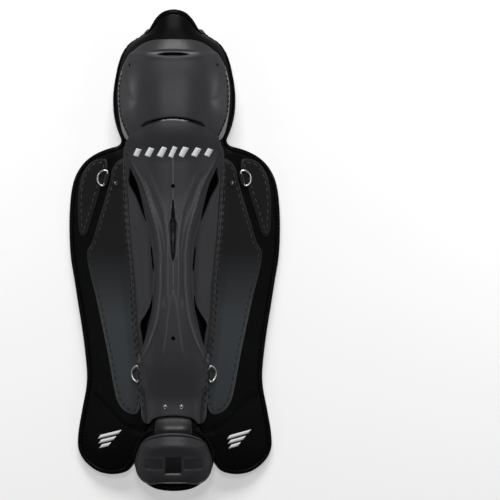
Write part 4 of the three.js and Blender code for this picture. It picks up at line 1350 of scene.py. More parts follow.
@dataclass
class ShinShell(FittedShell):
    """The long shin shell: flange, step, raised spine, ridges, spear recess and slots."""

    step: float = 5.5
    spine: float = 5.0
    flare: float = 6.0
    tongue_room: float = 2.2
    flange: float = 4.7
    step_run: float = 6.7
    ring_at: float = -0.515
    # The shell's half-widths, and then the main ridge's, as front-view shares at places along
    edges: tuple = (
        (-0.72, 0.298), (-0.45, 0.345), (-0.29, 0.377), (-0.15, 0.396), (0.02, 0.428), (0.17, 0.452),
        (0.27, 0.468), (0.37, 0.475), (0.53, 0.475),
    )
    spine_run: float = 0.04
    ridge: tuple = (
        (-0.75, 0.315), (-0.52, 0.305), (-0.439, 0.2795), (-0.398, 0.242), (-0.345, 0.197), (-0.287, 0.157),
        (-0.184, 0.125), (-0.086, 0.118), (-0.019, 0.1168), (0.028, 0.128), (0.0757, 0.1456), (0.123, 0.1743),
        (0.186, 0.217), (0.252, 0.2587), (0.303, 0.309), (0.353, 0.3654), (0.42, 0.42), (0.54, 0.46),
    )
    crease: tuple = (
        (-0.26, 0.048), (-0.10, 0.050), (0.0, 0.051), (0.044, 0.0538), (0.0914, 0.064), (0.151, 0.082),
        (0.186, 0.103), (0.233, 0.138), (0.284, 0.181), (0.3186, 0.217), (0.36, 0.255),
    )
    spear: tuple = (
        (-0.0436, 0.0), (-0.036, 0.010), (-0.019, 0.018), (0.021, 0.024), (0.060, 0.031), (0.0996, 0.038),
        (0.112, 0.035), (0.1243, 0.023), (0.1388, 0.0165), (0.170, 0.010), (0.205, 0.0),
    )
    vee: tuple = ((-0.47, 0.105), (-0.40, 0.085), (-0.34, 0.066), (-0.26, 0.046), (-0.20, 0.024), (-0.165, 0.0))
    slots: tuple = (
        ((0.405, 0.345, 0.0), (0.398, 0.318, 0.018), (0.384, 0.282, 0.040), (0.331, 0.218, 0.027),
         (0.291, 0.163, 0.016), (0.256, 0.116, 0.0)),
        ((0.206, 0.018, 0.0), (0.204, 0.000, 0.0085), (0.197, -0.033, 0.0085), (0.188, -0.075, 0.0085),
         (0.185, -0.090, 0.0)),
        ((0.196, -0.180, 0.0), (0.207, -0.225, 0.010), (0.231, -0.257, 0.023), (0.274, -0.306, 0.040),
         (0.280, -0.350, 0.022), (0.285, -0.394, 0.0)),
    )

    def __post_init__(self) -> None:
        """Work out the shell's arc half-width along the guard."""
        self.rows = np.linspace(-0.75, 0.56, 160) * HALF_LENGTH
        y = self.rows / HALF_LENGTH
        lift = self.seat(y) + self.step * self.over_ring(y) + SHELL_WALL
        self.rims = FORM.across(read_rows(self.edges, 1, y) * HALF_SPAN, self.rows, lift)

    def over_ring(self, y: np.ndarray) -> np.ndarray:
        """1 where the rim bridges the lower rings, 0 elsewhere."""
        return 1 - smooth(0.05, 0.09, np.abs(y - self.ring_at))

    def seat(self, y: np.ndarray) -> np.ndarray:
        """The lift of the flange's inner face, flared over the knee cap."""
        return PANEL_THICKNESS + 2 * SEAT + self.flare * smooth(0.36, 0.52, y) + SHELL_WALL * smooth(0.18, 0.38, y)

    def rim(self, v: np.ndarray) -> np.ndarray:
        """Half the shell's arc width at places along."""
        return np.interp(v, self.rows, self.rims)

    def seen(self, u: np.ndarray, v: np.ndarray, lift: np.ndarray | float) -> np.ndarray:
        """The half-width share at which a lifted place shows from the front."""
        reach, _, angle = FORM.bent(u, v)
        return (np.abs(reach) + np.sin(angle) * lift) / HALF_SPAN

    def inner(self, u: np.ndarray, v: np.ndarray) -> np.ndarray:
        """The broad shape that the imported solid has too."""
        y = v / HALF_LENGTH
        seat = self.seat(y)
        rise = smooth(self.flange, self.flange + self.step_run, self.rim(v) - np.abs(u))
        body = self.step * np.maximum(rise, self.over_ring(y))
        x = self.seen(u, v, seat + body + self.spine / 2 + SHELL_WALL)
        ridge = read_rows(self.ridge, 1, y)
        crest = self.spine * rise * smooth(-0.66, -0.45, y) * (1 - smooth(ridge, ridge + self.spine_run, x))
        low = self.seen(u, v, 0.0)
        lip = self.tongue_room * (1 - smooth(-0.7, -0.6, y)) * (1 - smooth(0.17, 0.25, low))
        return seat + body + crest + lip

    def relief(self, s: np.ndarray, t: np.ndarray, u: np.ndarray, v: np.ndarray) -> np.ndarray:
        """The outer face with its fine ridges and recesses."""
        y = v / HALF_LENGTH
        low = self.inner(u, v)
        x = self.seen(u, v, low + SHELL_WALL)
        ridge = read_rows(self.ridge, 1, y)
        ridge_here = smooth(-0.47, -0.41, y) * (1 - smooth(0.34, 0.42, y))
        fine = 0.7 * hump(0.009, x - ridge + 0.006) * ridge_here
        leaf = smooth(0.03, 0.07, x - ridge) * smooth(self.flange + 5, self.flange + 14, self.rim(v) - np.abs(u))
        fine -= 1.2 * leaf * ridge_here
        crease = read_rows(self.crease, 1, y)
        crease_here = smooth(-0.24, -0.18, y) * (1 - smooth(0.30, 0.36, y))
        fine += 0.45 * hump(0.007, x - crease) * crease_here
        valley = smooth(0.0, 0.03, x - crease) * (1 - smooth(-0.045, -0.012, x - ridge))
        fine -= 0.9 * valley * crease_here
        spear = read_rows(self.spear, 1, y)
        in_spear = (y > -0.0436) & (y < 0.205)
        fine -= np.where(in_spear, 3.2 * (1 - smooth(spear * 0.3, spear + 0.003, x)), 0.0)
        fine += np.where(in_spear, 0.5 * hump(0.007, x - spear - 0.010), 0.0)
        fine += 0.5 * hump(0.006, x) * (smooth(0.2, 0.22, y) * (1 - smooth(0.36, 0.40, y)))
        fine += 0.3 * hump(0.005, x) * (smooth(-0.16, -0.14, y) * (1 - smooth(-0.06, -0.04, y)))
        vee = read_rows(self.vee, 1, y)
        in_vee = (y < -0.165) & (y > -0.47)
        fade = smooth(-0.47, -0.40, y)
        raised = 0.4 * hump(0.008, x - vee) + 0.45 * (1 - smooth(vee - 0.02, vee, x))
        fine += np.where(in_vee, fade * raised, 0.0)
        return low + SHELL_WALL + fine

    def rub(self, s: np.ndarray, t: np.ndarray, u: np.ndarray, v: np.ndarray) -> np.ndarray:
        """Painted highlights along the ridges, the crease, the middle lines, the vee, the spear's rim and the
        shell's edge; painted shade in the spear recess, beside the flange step and on the leaf beside the ridge.
        """
        y = v / HALF_LENGTH
        x = self.seen(u, v, self.inner(u, v) + SHELL_WALL)
        ridge = read_rows(self.ridge, 1, y)
        ridge_here = smooth(-0.45, -0.38, y) * (1 - smooth(0.33, 0.40, y))
        crease = read_rows(self.crease, 1, y)
        crease_here = smooth(-0.24, -0.18, y) * (1 - smooth(0.29, 0.34, y))
        light = 0.75 * hump(0.0065, x - ridge + 0.004) * ridge_here
        light = np.maximum(light, 0.55 * hump(0.006, x - crease) * crease_here)
        light = np.maximum(light, 0.8 * hump(0.0055, x) * smooth(0.20, 0.215, y) * (1 - smooth(0.38, 0.41, y)))
        light = np.maximum(light, 0.6 * hump(0.005, x) * smooth(-0.16, -0.14, y) * (1 - smooth(-0.06, -0.045, y)))
        vee = read_rows(self.vee, 1, y)
        in_vee = (y < -0.165) & (y > -0.47)
        light = np.maximum(light, np.where(in_vee, 0.5 * hump(0.006, x - vee) * smooth(-0.45, -0.38, y), 0.0))
        spear = read_rows(self.spear, 1, y)
        in_spear = (y > -0.0436) & (y < 0.205)
        light = np.maximum(light, np.where(in_spear, 0.55 * hump(0.006, x - spear - 0.012), 0.0))
        dark = np.where(in_spear, 0.9 * (1 - smooth(spear * 0.5, spear + 0.004, x)), 0.0)
        edge = self.rim(v) - np.abs(u)
        light = np.maximum(light, 0.55 * (1 - smooth(0.3, 1.3, edge)))
        step = 0.85 * hump(1.1, edge - self.flange - 0.6) * (1 - smooth(0.30, 0.36, y)) * (1 - self.over_ring(y))
        leaf = 0.35 * smooth(0.02, 0.05, x - ridge) * (1 - smooth(0.08, 0.14, x - ridge)) * ridge_here
        return light - np.maximum(np.maximum(dark, step), leaf) * (light < 0.25)

    def cutters(self) -> list[np.ndarray]:
        """The vents and the tapering slots of both sides."""
        loops = [round_hole(0.0, 0.264, 5.0, 10.0), round_hole(0.0, -0.362, 5.0, 10.0)]
        for side in Side:
            for rows in self.slots:
                outer = [(x + half, y) for x, y, half in rows]
                inner = [(x - half, y) for x, y, half in rows[1:-1]][::-1]
                shares = [(side.value * x, y) for x, y in outer + inner]
                loops.append(loop_of(self.laid(shares), 1.4))
        return loops


@dataclass
class KneeCap(Shell):
    """The knee cap: flat rim, stitched groove, dome, top band with a lens-shaped slit, cheeks."""

    dome: float = 12.0
    middle: float = 0.665
    reach_up: float = 0.225
    reach_down: float = 0.32
    half_arc: float = 0.58
    groove: tuple = ((0.4085, 0.475), (0.438, 0.502), (0.468, 0.533), (0.487, 0.565), (0.498, 0.597),
                     (0.499, 0.628), (0.498, 0.657), (0.495, 0.6815), (0.483, 0.7105), (0.471, 0.729))
    cheek: tuple = ((0.385, 0.72), (0.275, 0.605), (0.44, 0.545))

    def __post_init__(self) -> None:
        """Work out the line of the groove between rim and dome."""
        self.groove_line = {}
        for side in Side:
            shares = [(side.value * x, y) for x, y in self.groove]
            self.groove_line[side] = rounded(front_view(shares, 4.0), False)
        line = self.groove_line[Side.RIGHT]
        order = np.argsort(line[:, 1])
        self.groove_reach = (line[order, 1], line[order, 0])

    def inner(self, u: np.ndarray, v: np.ndarray) -> np.ndarray:
        """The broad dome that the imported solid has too."""
        past = v / HALF_LENGTH - self.middle
        reach = np.where(past > 0, self.reach_up, self.reach_down)
        spread = np.hypot(u / (self.half_arc * HALF_SPAN), past / reach)
        return SEAT + self.dome * np.sqrt(np.maximum(0, 1 - np.minimum(1, spread) ** 2.2)) ** 1.4

    def relief(self, s: np.ndarray, t: np.ndarray, u: np.ndarray, v: np.ndarray) -> np.ndarray:
        """The outer face with groove, band, recess and cheeks."""
        y = v / HALF_LENGTH
        x = FORM.bent(u, v)[0] / HALF_SPAN
        low = self.inner(u, v)
        places = np.stack([u, v], axis=1)
        fine = np.zeros(len(u))
        for side in Side:
            away = from_edge(places, evenly(self.groove_line[side], 60), False)
            fine -= 1.2 * hump(1.3, away)
        fine += 0.5 * hump(2.2, np.abs(u) - np.interp(v, *self.groove_reach) + 4.2) * (y < 0.76)
        fine -= 1.6 * hump(1.4, self.over_shin(u, v) - 0.8) * (1 - smooth(0.22, 0.275, np.abs(x)))
        band = smooth(0.792, 0.812, y - 0.10 * x * x)
        fine -= 1.2 * band
        fine += 0.8 * hump(0.012, y - 0.10 * x * x - 0.792)
        lens = np.hypot(x / 0.27, (y - 0.806 + 0.02 * x * x) / 0.017)
        fine -= 2.0 * (1 - smooth(0.45, 1.0, lens))
        for side in Side:
            (x1, y1), (x2, y2), (x3, y3) = self.cheek
            sx = side.value * x
            upper = (sx - x1) * (y2 - y1) - (y - y1) * (x2 - x1)
            lower = (sx - x2) * (y3 - y2) - (y - y2) * (x3 - x2)
            depth = np.minimum(-upper, -lower)
            fine -= 1.1 * smooth(0.0, 0.012, depth)
        return low + SHELL_WALL + fine

    def rub(self, s: np.ndarray, t: np.ndarray, u: np.ndarray, v: np.ndarray) -> np.ndarray:
        """Painted highlight on the flat rim outside the groove along the sides and on the cheek facets, lighter
        round the slit; painted shade in the groove and a painted shadow in the gap under the shin shell's edge.
        """
        y = v / HALF_LENGTH
        past = np.abs(u) - np.interp(v, *self.groove_reach)
        light = 0.85 * smooth(1.0, 1.9, past) * (1 - smooth(0.76, 0.83, y))
        x = np.abs(FORM.bent(u, v)[0]) / HALF_SPAN
        thick = 2.7 * np.sqrt(np.maximum(0.0, 1 - (x / 0.275) ** 2))
        over = self.over_shin(u, v)
        gap = smooth(-2.5, -1.5, over) * (1 - smooth(thick - 0.35, thick + 0.35, over)) * (x < 0.272)
        groove = 0.8 * hump(0.9, past) * (1 - smooth(0.745, 0.765, y))
        lens = np.hypot(x / 0.24, (y - 0.806 + 0.02 * x * x) / 0.013)
        light = np.maximum(light, 0.25 * (1 - smooth(0.7, 1.0, lens)))
        (x1, y1), (x2, y2), (x3, y3) = self.cheek
        upper = (x - x1) * (y2 - y1) - (y - y1) * (x2 - x1)
        lower = (x - x2) * (y3 - y2) - (y - y2) * (x3 - x2)
        facet = smooth(0.0, 0.004, np.minimum(-upper, -lower)) * smooth(0.27, 0.44, x)
        light = np.maximum(light, 0.04 * facet * (1 - smooth(0.66, 0.74, y)))
        dark = np.maximum(gap, groove)
        return np.where(dark > 0.05, -dark, light)

    def over_shin(self, u: np.ndarray, v: np.ndarray) -> np.ndarray:
        """How far past the shin shell's top edge a place shows from the front."""
        x = np.abs(FORM.bent(u, v)[0]) / HALF_SPAN
        order = ((0.0, 0.536), (0.13, 0.530), (0.265, 0.512), (0.37, 0.488), (0.43, 0.462))
        return v - read_rows(order, 1, x) * HALF_LENGTH * 1.006

    def cutters(self) -> list[np.ndarray]:
        """The slit and two small oval holes."""
        slit = [(0.0, 0.812), (0.10, 0.809), (0.148, 0.803), (0.10, 0.798), (0.0, 0.797)]
        loops = [loop_of(front_view(mirrored(slit), 8.0), 1.2)]
        loops += [round_hole(side.value * 0.395, 0.762, 3.6, 6.0, (0.75, 1.2)) for side in Side]
        return loops


FOOT_PAD_THICKNESS = 8.0
FOOT_SEAT = 2 * BINDING_TAPE + SEAT + FOOT_PAD_THICKNESS
NECK_FRONT = 1.4
FOOT_OUTLINE = (
    (0.000, -0.712), (0.080, -0.713), (0.130, -0.719), (0.180, -0.730), (0.236, -0.740), (0.289, -0.757),
    (0.332, -0.782), (0.361, -0.809), (0.378, -0.837), (0.382, -0.863), (0.374, -0.890), (0.356, -0.916),
    (0.322, -0.943), (0.257, -0.971), (0.166, -0.991), (0.000, -1.000),
)


def foot_blend(v: np.ndarray) -> np.ndarray:
    """0 at the neck, 1 over the foot pad."""
    return 1 - smooth(-0.75, -0.645, v / HALF_LENGTH)


def foot_front(u: np.ndarray, v: np.ndarray) -> np.ndarray:
    """The lift of the foot pad's front."""
    return NECK_FRONT + (FOOT_SEAT - NECK_FRONT) * foot_blend(v)


@dataclass
class FootShell(FittedShell):
    """The foot shell: rolled rim, stitched line, arched band, two shallow boxes and a recess."""

    dome: float = 3.0

    def inner(self, u: np.ndarray, v: np.ndarray) -> np.ndarray:
        """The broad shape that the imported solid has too."""
        y = v / HALF_LENGTH
        over = (BINDING_TAPE + TONGUE_WALL + 2 * SEAT) * smooth(-0.86, -0.80, y)
        spread = np.hypot(u / (0.36 * HALF_SPAN), (y + 0.875) / 0.115)
        return foot_front(u, v) + SEAT + BINDING_TAPE + over + self.dome * (1 - smooth(0.55, 1.0, spread))

    def relief(self, s: np.ndarray, t: np.ndarray, u: np.ndarray, v: np.ndarray) -> np.ndarray:
        """The outer face with its rolled rim and shallow panels."""
        y = v / HALF_LENGTH
        x = np.abs(FORM.bent(u, v)[0]) / HALF_SPAN
        rim = np.minimum(1 - np.abs(s), 1.5 * np.minimum(t, 1 - t))
        fine = 0.7 * hump(0.035, rim - 0.03) - 0.35 * hump(0.022, rim - 0.085)
        fine += 0.28 * hump(0.016, y + 0.819 + 0.45 * x * x)
        box, recess = self.wells(x, y)
        return self.inner(u, v) + SHELL_WALL + fine - 0.6 * box - 0.8 * recess

    @staticmethod
    def wells(x: np.ndarray, y: np.ndarray) -> tuple[np.ndarray, np.ndarray]:
        """The two shallow boxes and the middle recess, 0 to 1, at front-view shares."""
        reach = x + 0.9 * np.maximum(0, np.abs(y + 0.882) - 0.014)
        box = smooth(0.080, 0.090, x) * (1 - smooth(0.212, 0.226, reach))
        box = box * smooth(-0.909, -0.902, y) * (1 - smooth(-0.866, -0.859, y))
        recess = (1 - smooth(0.066, 0.080, x)) * smooth(-0.930, -0.918, y) * (1 - smooth(-0.860, -0.848, y))
        return box, recess

    def rub(self, s: np.ndarray, t: np.ndarray, u: np.ndarray, v: np.ndarray) -> np.ndarray:
        """Painted highlight on the rolled rim; painted shade in the boxes, the recess and the groove beside the rim,
        and darker towards the bottom.
        """
        y = v / HALF_LENGTH
        x = np.abs(FORM.bent(u, v)[0]) / HALF_SPAN
        rim = np.minimum(1 - np.abs(s), 1.5 * np.minimum(t, 1 - t))
        box, recess = self.wells(x, y)
        light = 0.35 * hump(0.016, rim - 0.03)
        return light - 0.35 * hump(0.02, rim - 0.085) - 0.35 * box - 0.7 * recess - 0.25 * smooth(-0.85, -0.95, y)


@dataclass
class Tongue(Shell):
    """The flexible strip between the shin shell and the foot shell."""

    def relief(self, s: np.ndarray, t: np.ndarray, u: np.ndarray, v: np.ndarray) -> np.ndarray:
        """A plain strip over the foot pad."""
        return foot_front(u, v) + BINDING_TAPE + 2 * SEAT + self.wall

    def rub(self, s: np.ndarray, t: np.ndarray, u: np.ndarray, v: np.ndarray) -> np.ndarray:
        """Painted shade: darker than the shells all over."""
        return np.full(len(u), -0.6)


CAP_HALF = (
    (0.000, 0.868), (0.110, 0.866), (0.205, 0.862), (0.300, 0.846), (0.385, 0.818), (0.433, 0.791),
    (0.462, 0.768), (0.492, 0.740), (0.511, 0.705), (0.519, 0.665), (0.520, 0.618), (0.514, 0.574),
    (0.497, 0.526), (0.467, 0.480), (0.435, 0.460), (0.350, 0.454), (0.180, 0.451), (0.000, 0.450),
)
SHIN_HALF = (
    (0.000, 0.536), (0.130, 0.530), (0.265, 0.512), (0.370, 0.488), (0.430, 0.462), (0.462, 0.430),
    (0.472, 0.370), (0.468, 0.300), (0.455, 0.220), (0.446, 0.150), (0.432, 0.060), (0.414, -0.035),
    (0.396, -0.135), (0.380, -0.235), (0.362, -0.350), (0.335, -0.450), (0.318, -0.550), (0.306, -0.650),
    (0.298, -0.695), (0.270, -0.718), (0.230, -0.716), (0.195, -0.700), (0.150, -0.690), (0.000, -0.682),
)
FOOT_SHELL_HALF = (
    (0.000, -0.7545), (0.080, -0.7555), (0.150, -0.7605), (0.224, -0.771), (0.2655, -0.7836), (0.300, -0.801),
    (0.330, -0.828), (0.350, -0.860), (0.356, -0.8915), (0.350, -0.916), (0.318, -0.944), (0.283, -0.959),
    (0.229, -0.970), (0.105, -0.965), (0.000, -0.965),
)
TONGUE_HALF = (
    (0.000, -0.625), (0.080, -0.625), (0.158, -0.626), (0.160, -0.64), (0.160, -0.71), (0.160, -0.78),
    (0.150, -0.798), (0.080, -0.800), (0.000, -0.800),
)


@dataclass
class Panels:
    """The sewn wing and fin panels of both sides, with their stitching."""

    finishes: Finishes
    shin: ShinShell
    net: float = 3.0
    fin: tuple = (
        (0.644, 0.376), (0.700, 0.380), (0.775, 0.370), (0.838, 0.340), (0.886, 0.290), (0.908, 0.222),
        (0.908, 0.140), (0.894, 0.074), (0.866, 0.058), (0.835, 0.067), (0.799, 0.116), (0.759, 0.172),
        (0.714, 0.238), (0.668, 0.300), (0.630, 0.348),
    )
    wing: tuple = (
        (0.478, 0.382), (0.540, 0.365), (0.580, 0.334), (0.614, 0.270), (0.655, 0.205), (0.715, 0.120),
        (0.778, 0.030), (0.822, -0.005), (0.815, -0.056), (0.782, -0.120), (0.745, -0.182), (0.708, -0.256),
        (0.675, -0.325), (0.632, -0.415), (0.590, -0.515), (0.570, -0.565), (0.528, -0.635), (0.460, -0.672),
        (0.370, -0.683), (0.330, -0.660), (0.300, -0.560), (0.330, -0.400), (0.370, -0.200), (0.395, -0.020),
        (0.425, 0.150), (0.432, 0.300), (0.440, 0.365),
    )

    def build(self) -> None:
        """Make the four panels and their stitches."""
        stitches = Stitching("panel_stitches")
        for side in Side:
            word = side.name.lower()
            for kind, shares in (("fin", self.fin), ("wing", self.wing)):
                outline = [(side.value * x, y) for x, y in shares]
                loop = loop_of(front_view(outline, SEAT + PANEL_THICKNESS), 1.6)
                self._panel(f"{kind}_sheet_{word}", loop, f"{kind}_panel_{word}")
                stitches.run(inset(loop, PANEL_STITCH_INSET), self._thread_lift, closed=True)
            v = np.linspace(0.345, -0.655, 160) * HALF_LENGTH
            stitches.run(np.stack([side.value * (self.shin.rim(v) + 4.6), v], axis=1), self._thread_lift)
        stitches.finish(self.finishes.panel_thread, "tab_webbing")

    @staticmethod
    def _thread_lift(u: np.ndarray, v: np.ndarray) -> np.ndarray:
        """The height of the thread in its sewn dip."""
        return panel_top(u, v) - 0.25

    def _panel(self, name: str, loop: np.ndarray, node: str) -> None:
        """One sheet with a soft rounded rim and a sewn dip along its stitching."""
        def front(u: np.ndarray, v: np.ndarray) -> np.ndarray:
            edge = from_edge(np.stack([u, v], axis=1), loop)
            return panel_top(u, v) - 0.7 * (1 - smooth(0.0, 1.6, edge)) - 0.35 * hump(1.3, edge - PANEL_STITCH_INSET)

        def back(u: np.ndarray, v: np.ndarray) -> np.ndarray:
            return panel_top(u, v) - PANEL_THICKNESS
        piece, flats, _ = slab(name, loop, self.net, front, back, wall_steps=2)
        # The mask of the rim's painted highlight.
        keep_mask(piece, "rub", 1 - smooth(0.3, 1.8, from_edge(flats, loop)))
        shade(piece, 50)
        settle(piece, self.finishes.panel, [node])


@dataclass
class FootPad:
    """The padded foot piece with its binding, and the seams on its back."""

    finishes: Finishes

    def __post_init__(self) -> None:
        """Work out the outline."""
        self.outline = loop_of(front_view(mirrored(FOOT_OUTLINE), FOOT_SEAT), 2.2)

    def front(self, u: np.ndarray, v: np.ndarray) -> np.ndarray:
        """The front's lift."""
        edge = from_edge(np.stack([u, v], axis=1), self.outline)
        return foot_front(u, v) - 1.4 * (1 - smooth(0.0, 9.0, edge))

    def low(self, u: np.ndarray, v: np.ndarray) -> np.ndarray:
        """The plain back face."""
        return foot_front(u, v) - (4.0 + 4.0 * foot_blend(v))

    def back(self, u: np.ndarray, v: np.ndarray) -> np.ndarray:
        """The quilted back face."""
        places = np.stack([u, v], axis=1)
        edge = from_edge(places, self.outline)
        dip = hump(3.0, from_edge(places, self.seam(), False))
        return self.low(u, v) + 1.4 * (1 - smooth(0.0, 9.0, edge)) - 1.6 * smooth(10, 26, edge) + 1.4 * dip

    def seam(self) -> np.ndarray:
        """The stitched trapezoid on the back."""
        half = [(0.205, -0.90), (0.205, -0.86), (0.175, -0.80), (0.135, -0.772), (0.0, -0.757)]
        shares = half + [(-x, y) for x, y in reversed(half[:-1])]
        return rounded(front_view(shares, 2.0), False)

    def _hinge(self) -> None:
        """The black cloth behind the arch that the foot piece swings on."""
        shares = ((0.0, -0.672), (0.10, -0.674), (0.185, -0.684), (0.24, -0.705), (0.262, -0.73), (0.20, -0.752),
                  (0.10, -0.758), (0.0, -0.76))
        loop = loop_of(flat_pattern(mirrored(shares)), 3.0)
        cloth, _, _ = slab("hinge_cloth", loop, 3.2, lambda u, v: 0 * u - 3.2, lambda u, v: 0 * u - 4.4,
                           wall_steps=1)
        settle(cloth, self.finishes.webbing)

    def build(self) -> None:
        """Make the pad, its binding and its seams."""
        self._hinge()
        pad, _, count = slab("foot_pad_body", inset(self.outline, 1.8), 2.4, self.front, self.back)
        cover_back(pad, count, self.finishes)
        settle(pad, self.finishes.vinyl, ["foot_pad"])
        bind("foot_edge_binding", self.outline, self.finishes, foot_front, self.low, ["foot_binding"], 6.0)
        stitches = Stitching("foot_back_stitches", thread=0.9, long=4.6, gap=2.6)
        stitches.run(self.seam(), lambda u, v: self.back(u, v) - 0.3)
        stitches.finish(self.finishes.thread, "tab_webbing")


@dataclass
class Hardware:
    """The D rings on their webbing loops, and the rivets."""

    finishes: Finishes
    wire: float = 2.4
    length: float = 22.0
    depth: float = 13.0

    def build(self) -> None:
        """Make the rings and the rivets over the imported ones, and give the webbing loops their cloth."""
        for side in Side:
            for level in ("upper", "lower"):
                word = f"{level}_{side.name.lower()}"
                self._ring(word, side)
                self._tab(word)
            for kind in ("panel", "shell"):
                self._rivet(f"{kind}_{side.name.lower()}")

    def _frame_of(self, node: str) -> tuple[np.ndarray, np.ndarray, np.ndarray]:
        """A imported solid's mean place, its own axes, longest first, and its corners."""
        source = next(o for o in bpy.data.objects if o.name == node)
        points = np.array([tuple(source.matrix_world @ v.co) for v in source.data.vertices])
        unique = np.unique(np.round(points, 6), axis=0)
        mean = unique.mean(axis=0)
        _, _, axes = np.linalg.svd(unique - mean, full_matrices=False)
        return mean, axes, unique

    def _ring(self, word: str, side: Side) -> None:
        """A round-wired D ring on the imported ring's plane."""
        node = f"d_ring_{word}"
        mean, axes, unique = self._frame_of(node)
        along, out, up = axes[0], axes[1], axes[2]
        up = up if up[2] > 0 else -up
        along = along if along[1] > 0 else -along
        out = np.cross(along, up)
        out = out if out[0] * side.value > 0 else -out
        local = (unique - mean) @ np.stack([out, along, up], axis=1)
        start = mean + out * local[:, 0].min() + along * (local[:, 1].max() + local[:, 1].min()) / 2
        radius = self.wire / 2 * MM
        half = self.length / 2 * MM - radius
        depth = (self.depth - self.wire) * MM
        corner = 2.5 * MM
        path = [(0.0, -half + corner), (0.0, half - corner)]
        path += [(corner * (1 - math.cos(a)), half - corner + corner * math.sin(a))
                 for a in np.linspace(0.3, 1.4, 4)]
        path += [(corner + (depth - corner) * math.cos(a), half * math.sin(a))
                 for a in np.linspace(math.pi / 2, -math.pi / 2, 26)]
        path += [(corner * (1 - math.cos(a)), -half + corner - corner * math.sin(a))
                 for a in np.linspace(1.4, 0.3, 4)]
        line = evenly(np.array(path), 110, closed=True)
        place = start + out * radius + np.outer(line[:, 0], out) + np.outer(line[:, 1], along)
        piece = round_wire(f"bright_ring_{word}", place, np.tile(up, (len(place), 1)), radius, 14)
        choose(piece)
        bpy.ops.object.mode_set(mode="EDIT")
        bpy.ops.mesh.select_all(action="SELECT")
        bpy.ops.mesh.normals_make_consistent(inside=False)
        bpy.ops.object.mode_set(mode="OBJECT")
        settle(piece, self.finishes.chrome, [node])

    def _tab(self, word: str) -> None:
        """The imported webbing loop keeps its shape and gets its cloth."""
        source = next(o for o in bpy.data.objects if o.name == f"ring_tab_{word}")
        source.data.materials.clear()
        source.data.materials.append(self.finishes.webbing)

    def _rivet(self, word: str) -> None:
        """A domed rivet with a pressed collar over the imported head."""
        node = f"rivet_{word}"
        source = next(o for o in bpy.data.objects if o.name == node)
        points = np.array([tuple(v.co) for v in source.data.vertices])
        unique = np.unique(np.round(points, 6), axis=0)
        tip = unique[np.argmax(unique[:, 2])]
        mean = unique.mean(axis=0)
        up = Vector(tip - mean).normalized()
        deselect()
        bpy.ops.mesh.primitive_uv_sphere_add(segments=28, ring_count=16, radius=1.0)
        piece = bpy.context.object
        piece.name = piece.data.name = f"domed_rivet_{word}"
        bpy.ops.object.mode_set(mode="EDIT")
        bpy.ops.mesh.select_all(action="SELECT")
        bpy.ops.mesh.bisect(plane_co=(0, 0, -0.15), plane_no=(0, 0, 1), clear_inner=True, use_fill=True)
        bpy.ops.object.mode_set(mode="OBJECT")
        turn = Vector((0, 0, 1)).rotation_difference(up).to_matrix()
        height = 1.8
        for vertex in piece.data.vertices:
            x, y, z = vertex.co
            reach = math.hypot(x, y)
            collar = 0.25 * math.exp(-((reach - 0.86) / 0.08) ** 2)
            local = Vector((x * 3.0, y * 3.0, (max(z, 0.0) * 0.85 + collar) * height)) * MM
            vertex.co = Vector(tip) - up * height * MM + turn @ local
        piece.data.update()
        shade(piece, 50)
        settle(piece, self.finishes.rivet, [node])


@dataclass
class ShellStitches:
    """The thread along the shells' flanges, the cap's groove and the foot shell."""

    finishes: Finishes
    shin: ShinShell
    cap: KneeCap
    foot: FootShell

    def build(self) -> None:
        """Lay every run."""
        stitches = Stitching("shell_stitches", thread=1.2, long=6.6, gap=2.2)
        for side in Side:
            v = np.linspace(0.36 * HALF_LENGTH, -0.67 * HALF_LENGTH, 160)
            u = side.value * (self.shin.rim(v) - 2.4)
            stitches.run(np.stack([u, v], axis=1), self._flange)
        foot_lift = partial(self._over, shell=self.foot, rise=0.15)
        top = [(0.300, -0.931), (0.306, -0.910), (0.294, -0.876), (0.2785, -0.855), (0.258, -0.838),
               (0.2385, -0.825), (0.213, -0.800), (0.174, -0.796), (0.126, -0.790), (0.07, -0.783), (0.0, -0.781)]
        shares = top + [(-x, y) for x, y in reversed(top[:-1])]
        stitches.long, stitches.gap = 4.0, 2.4
        stitches.run(rounded(front_view(shares, 17.0), False), foot_lift)
        floor = evenly(front_view([(-0.21, -0.944), (0.21, -0.944)], 15.0), 40)
        stitches.run(floor, foot_lift)
        stitches.finish(self.finishes.thread, "tab_webbing")
        dashes = Stitching("cap_groove_dashes", thread=1.6, long=5.0, gap=1.0)
        for side in Side:
            groove = self.cap.groove_line[side]
            dashes.run(groove, partial(self._over, shell=self.cap, rise=0.3))
            notch = front_view([(side.value * 0.489, 0.750), (side.value * 0.438, 0.7396)], 4.0)
            dashes.long = 7.5
            dashes.run(evenly(notch, 12), partial(self._over, shell=self.cap, rise=0.5))
            dashes.long = 5.0
        dashes.finish(self.finishes.thread, "tab_webbing")

    @staticmethod
    def _over(u: np.ndarray, v: np.ndarray, shell: Shell, rise: float) -> np.ndarray:
        """A shell's own front, less the depth that thread sinks in."""
        return shell.inner(u, v) + SHELL_WALL - THREAD_SINK + rise

    def _flange(self, u: np.ndarray, v: np.ndarray) -> np.ndarray:
        """The flange's top, raised where it bridges a ring."""
        return self.shin.inner(u, v) + SHELL_WALL - 0.2


def build_marks(finishes: Finishes, shin: ShinShell, pad: PaddedBody) -> None:
    """Plain white bars in place of printed words: a band on the shell, three strokes on each lobe."""
    marks = Transfer("printed_bars", finishes)
    for number in range(7):
        half = 7.4 - 0.8 * abs(number - 3)
        place = ((number - 3) * 12.4, 0.408 * HALF_LENGTH)
        marks.bar(place, half, 2.9, 66.0, lambda u, v: shin.relief(0 * u, 0 * u, u, v) + 0.06)
    for side in Side:
        for number, half in enumerate((14.5, 10.5, 6.5)):
            v = (-0.772 - 0.023 * number) * HALF_LENGTH
            marks.bar((side.value * 0.648 * HALF_SPAN - 3.0 * number, v), half, 2.0, 14.0,
                      lambda a, b: pad.front(a, b) + 0.10, slant=1.3)
    marks.finish()


# Stage

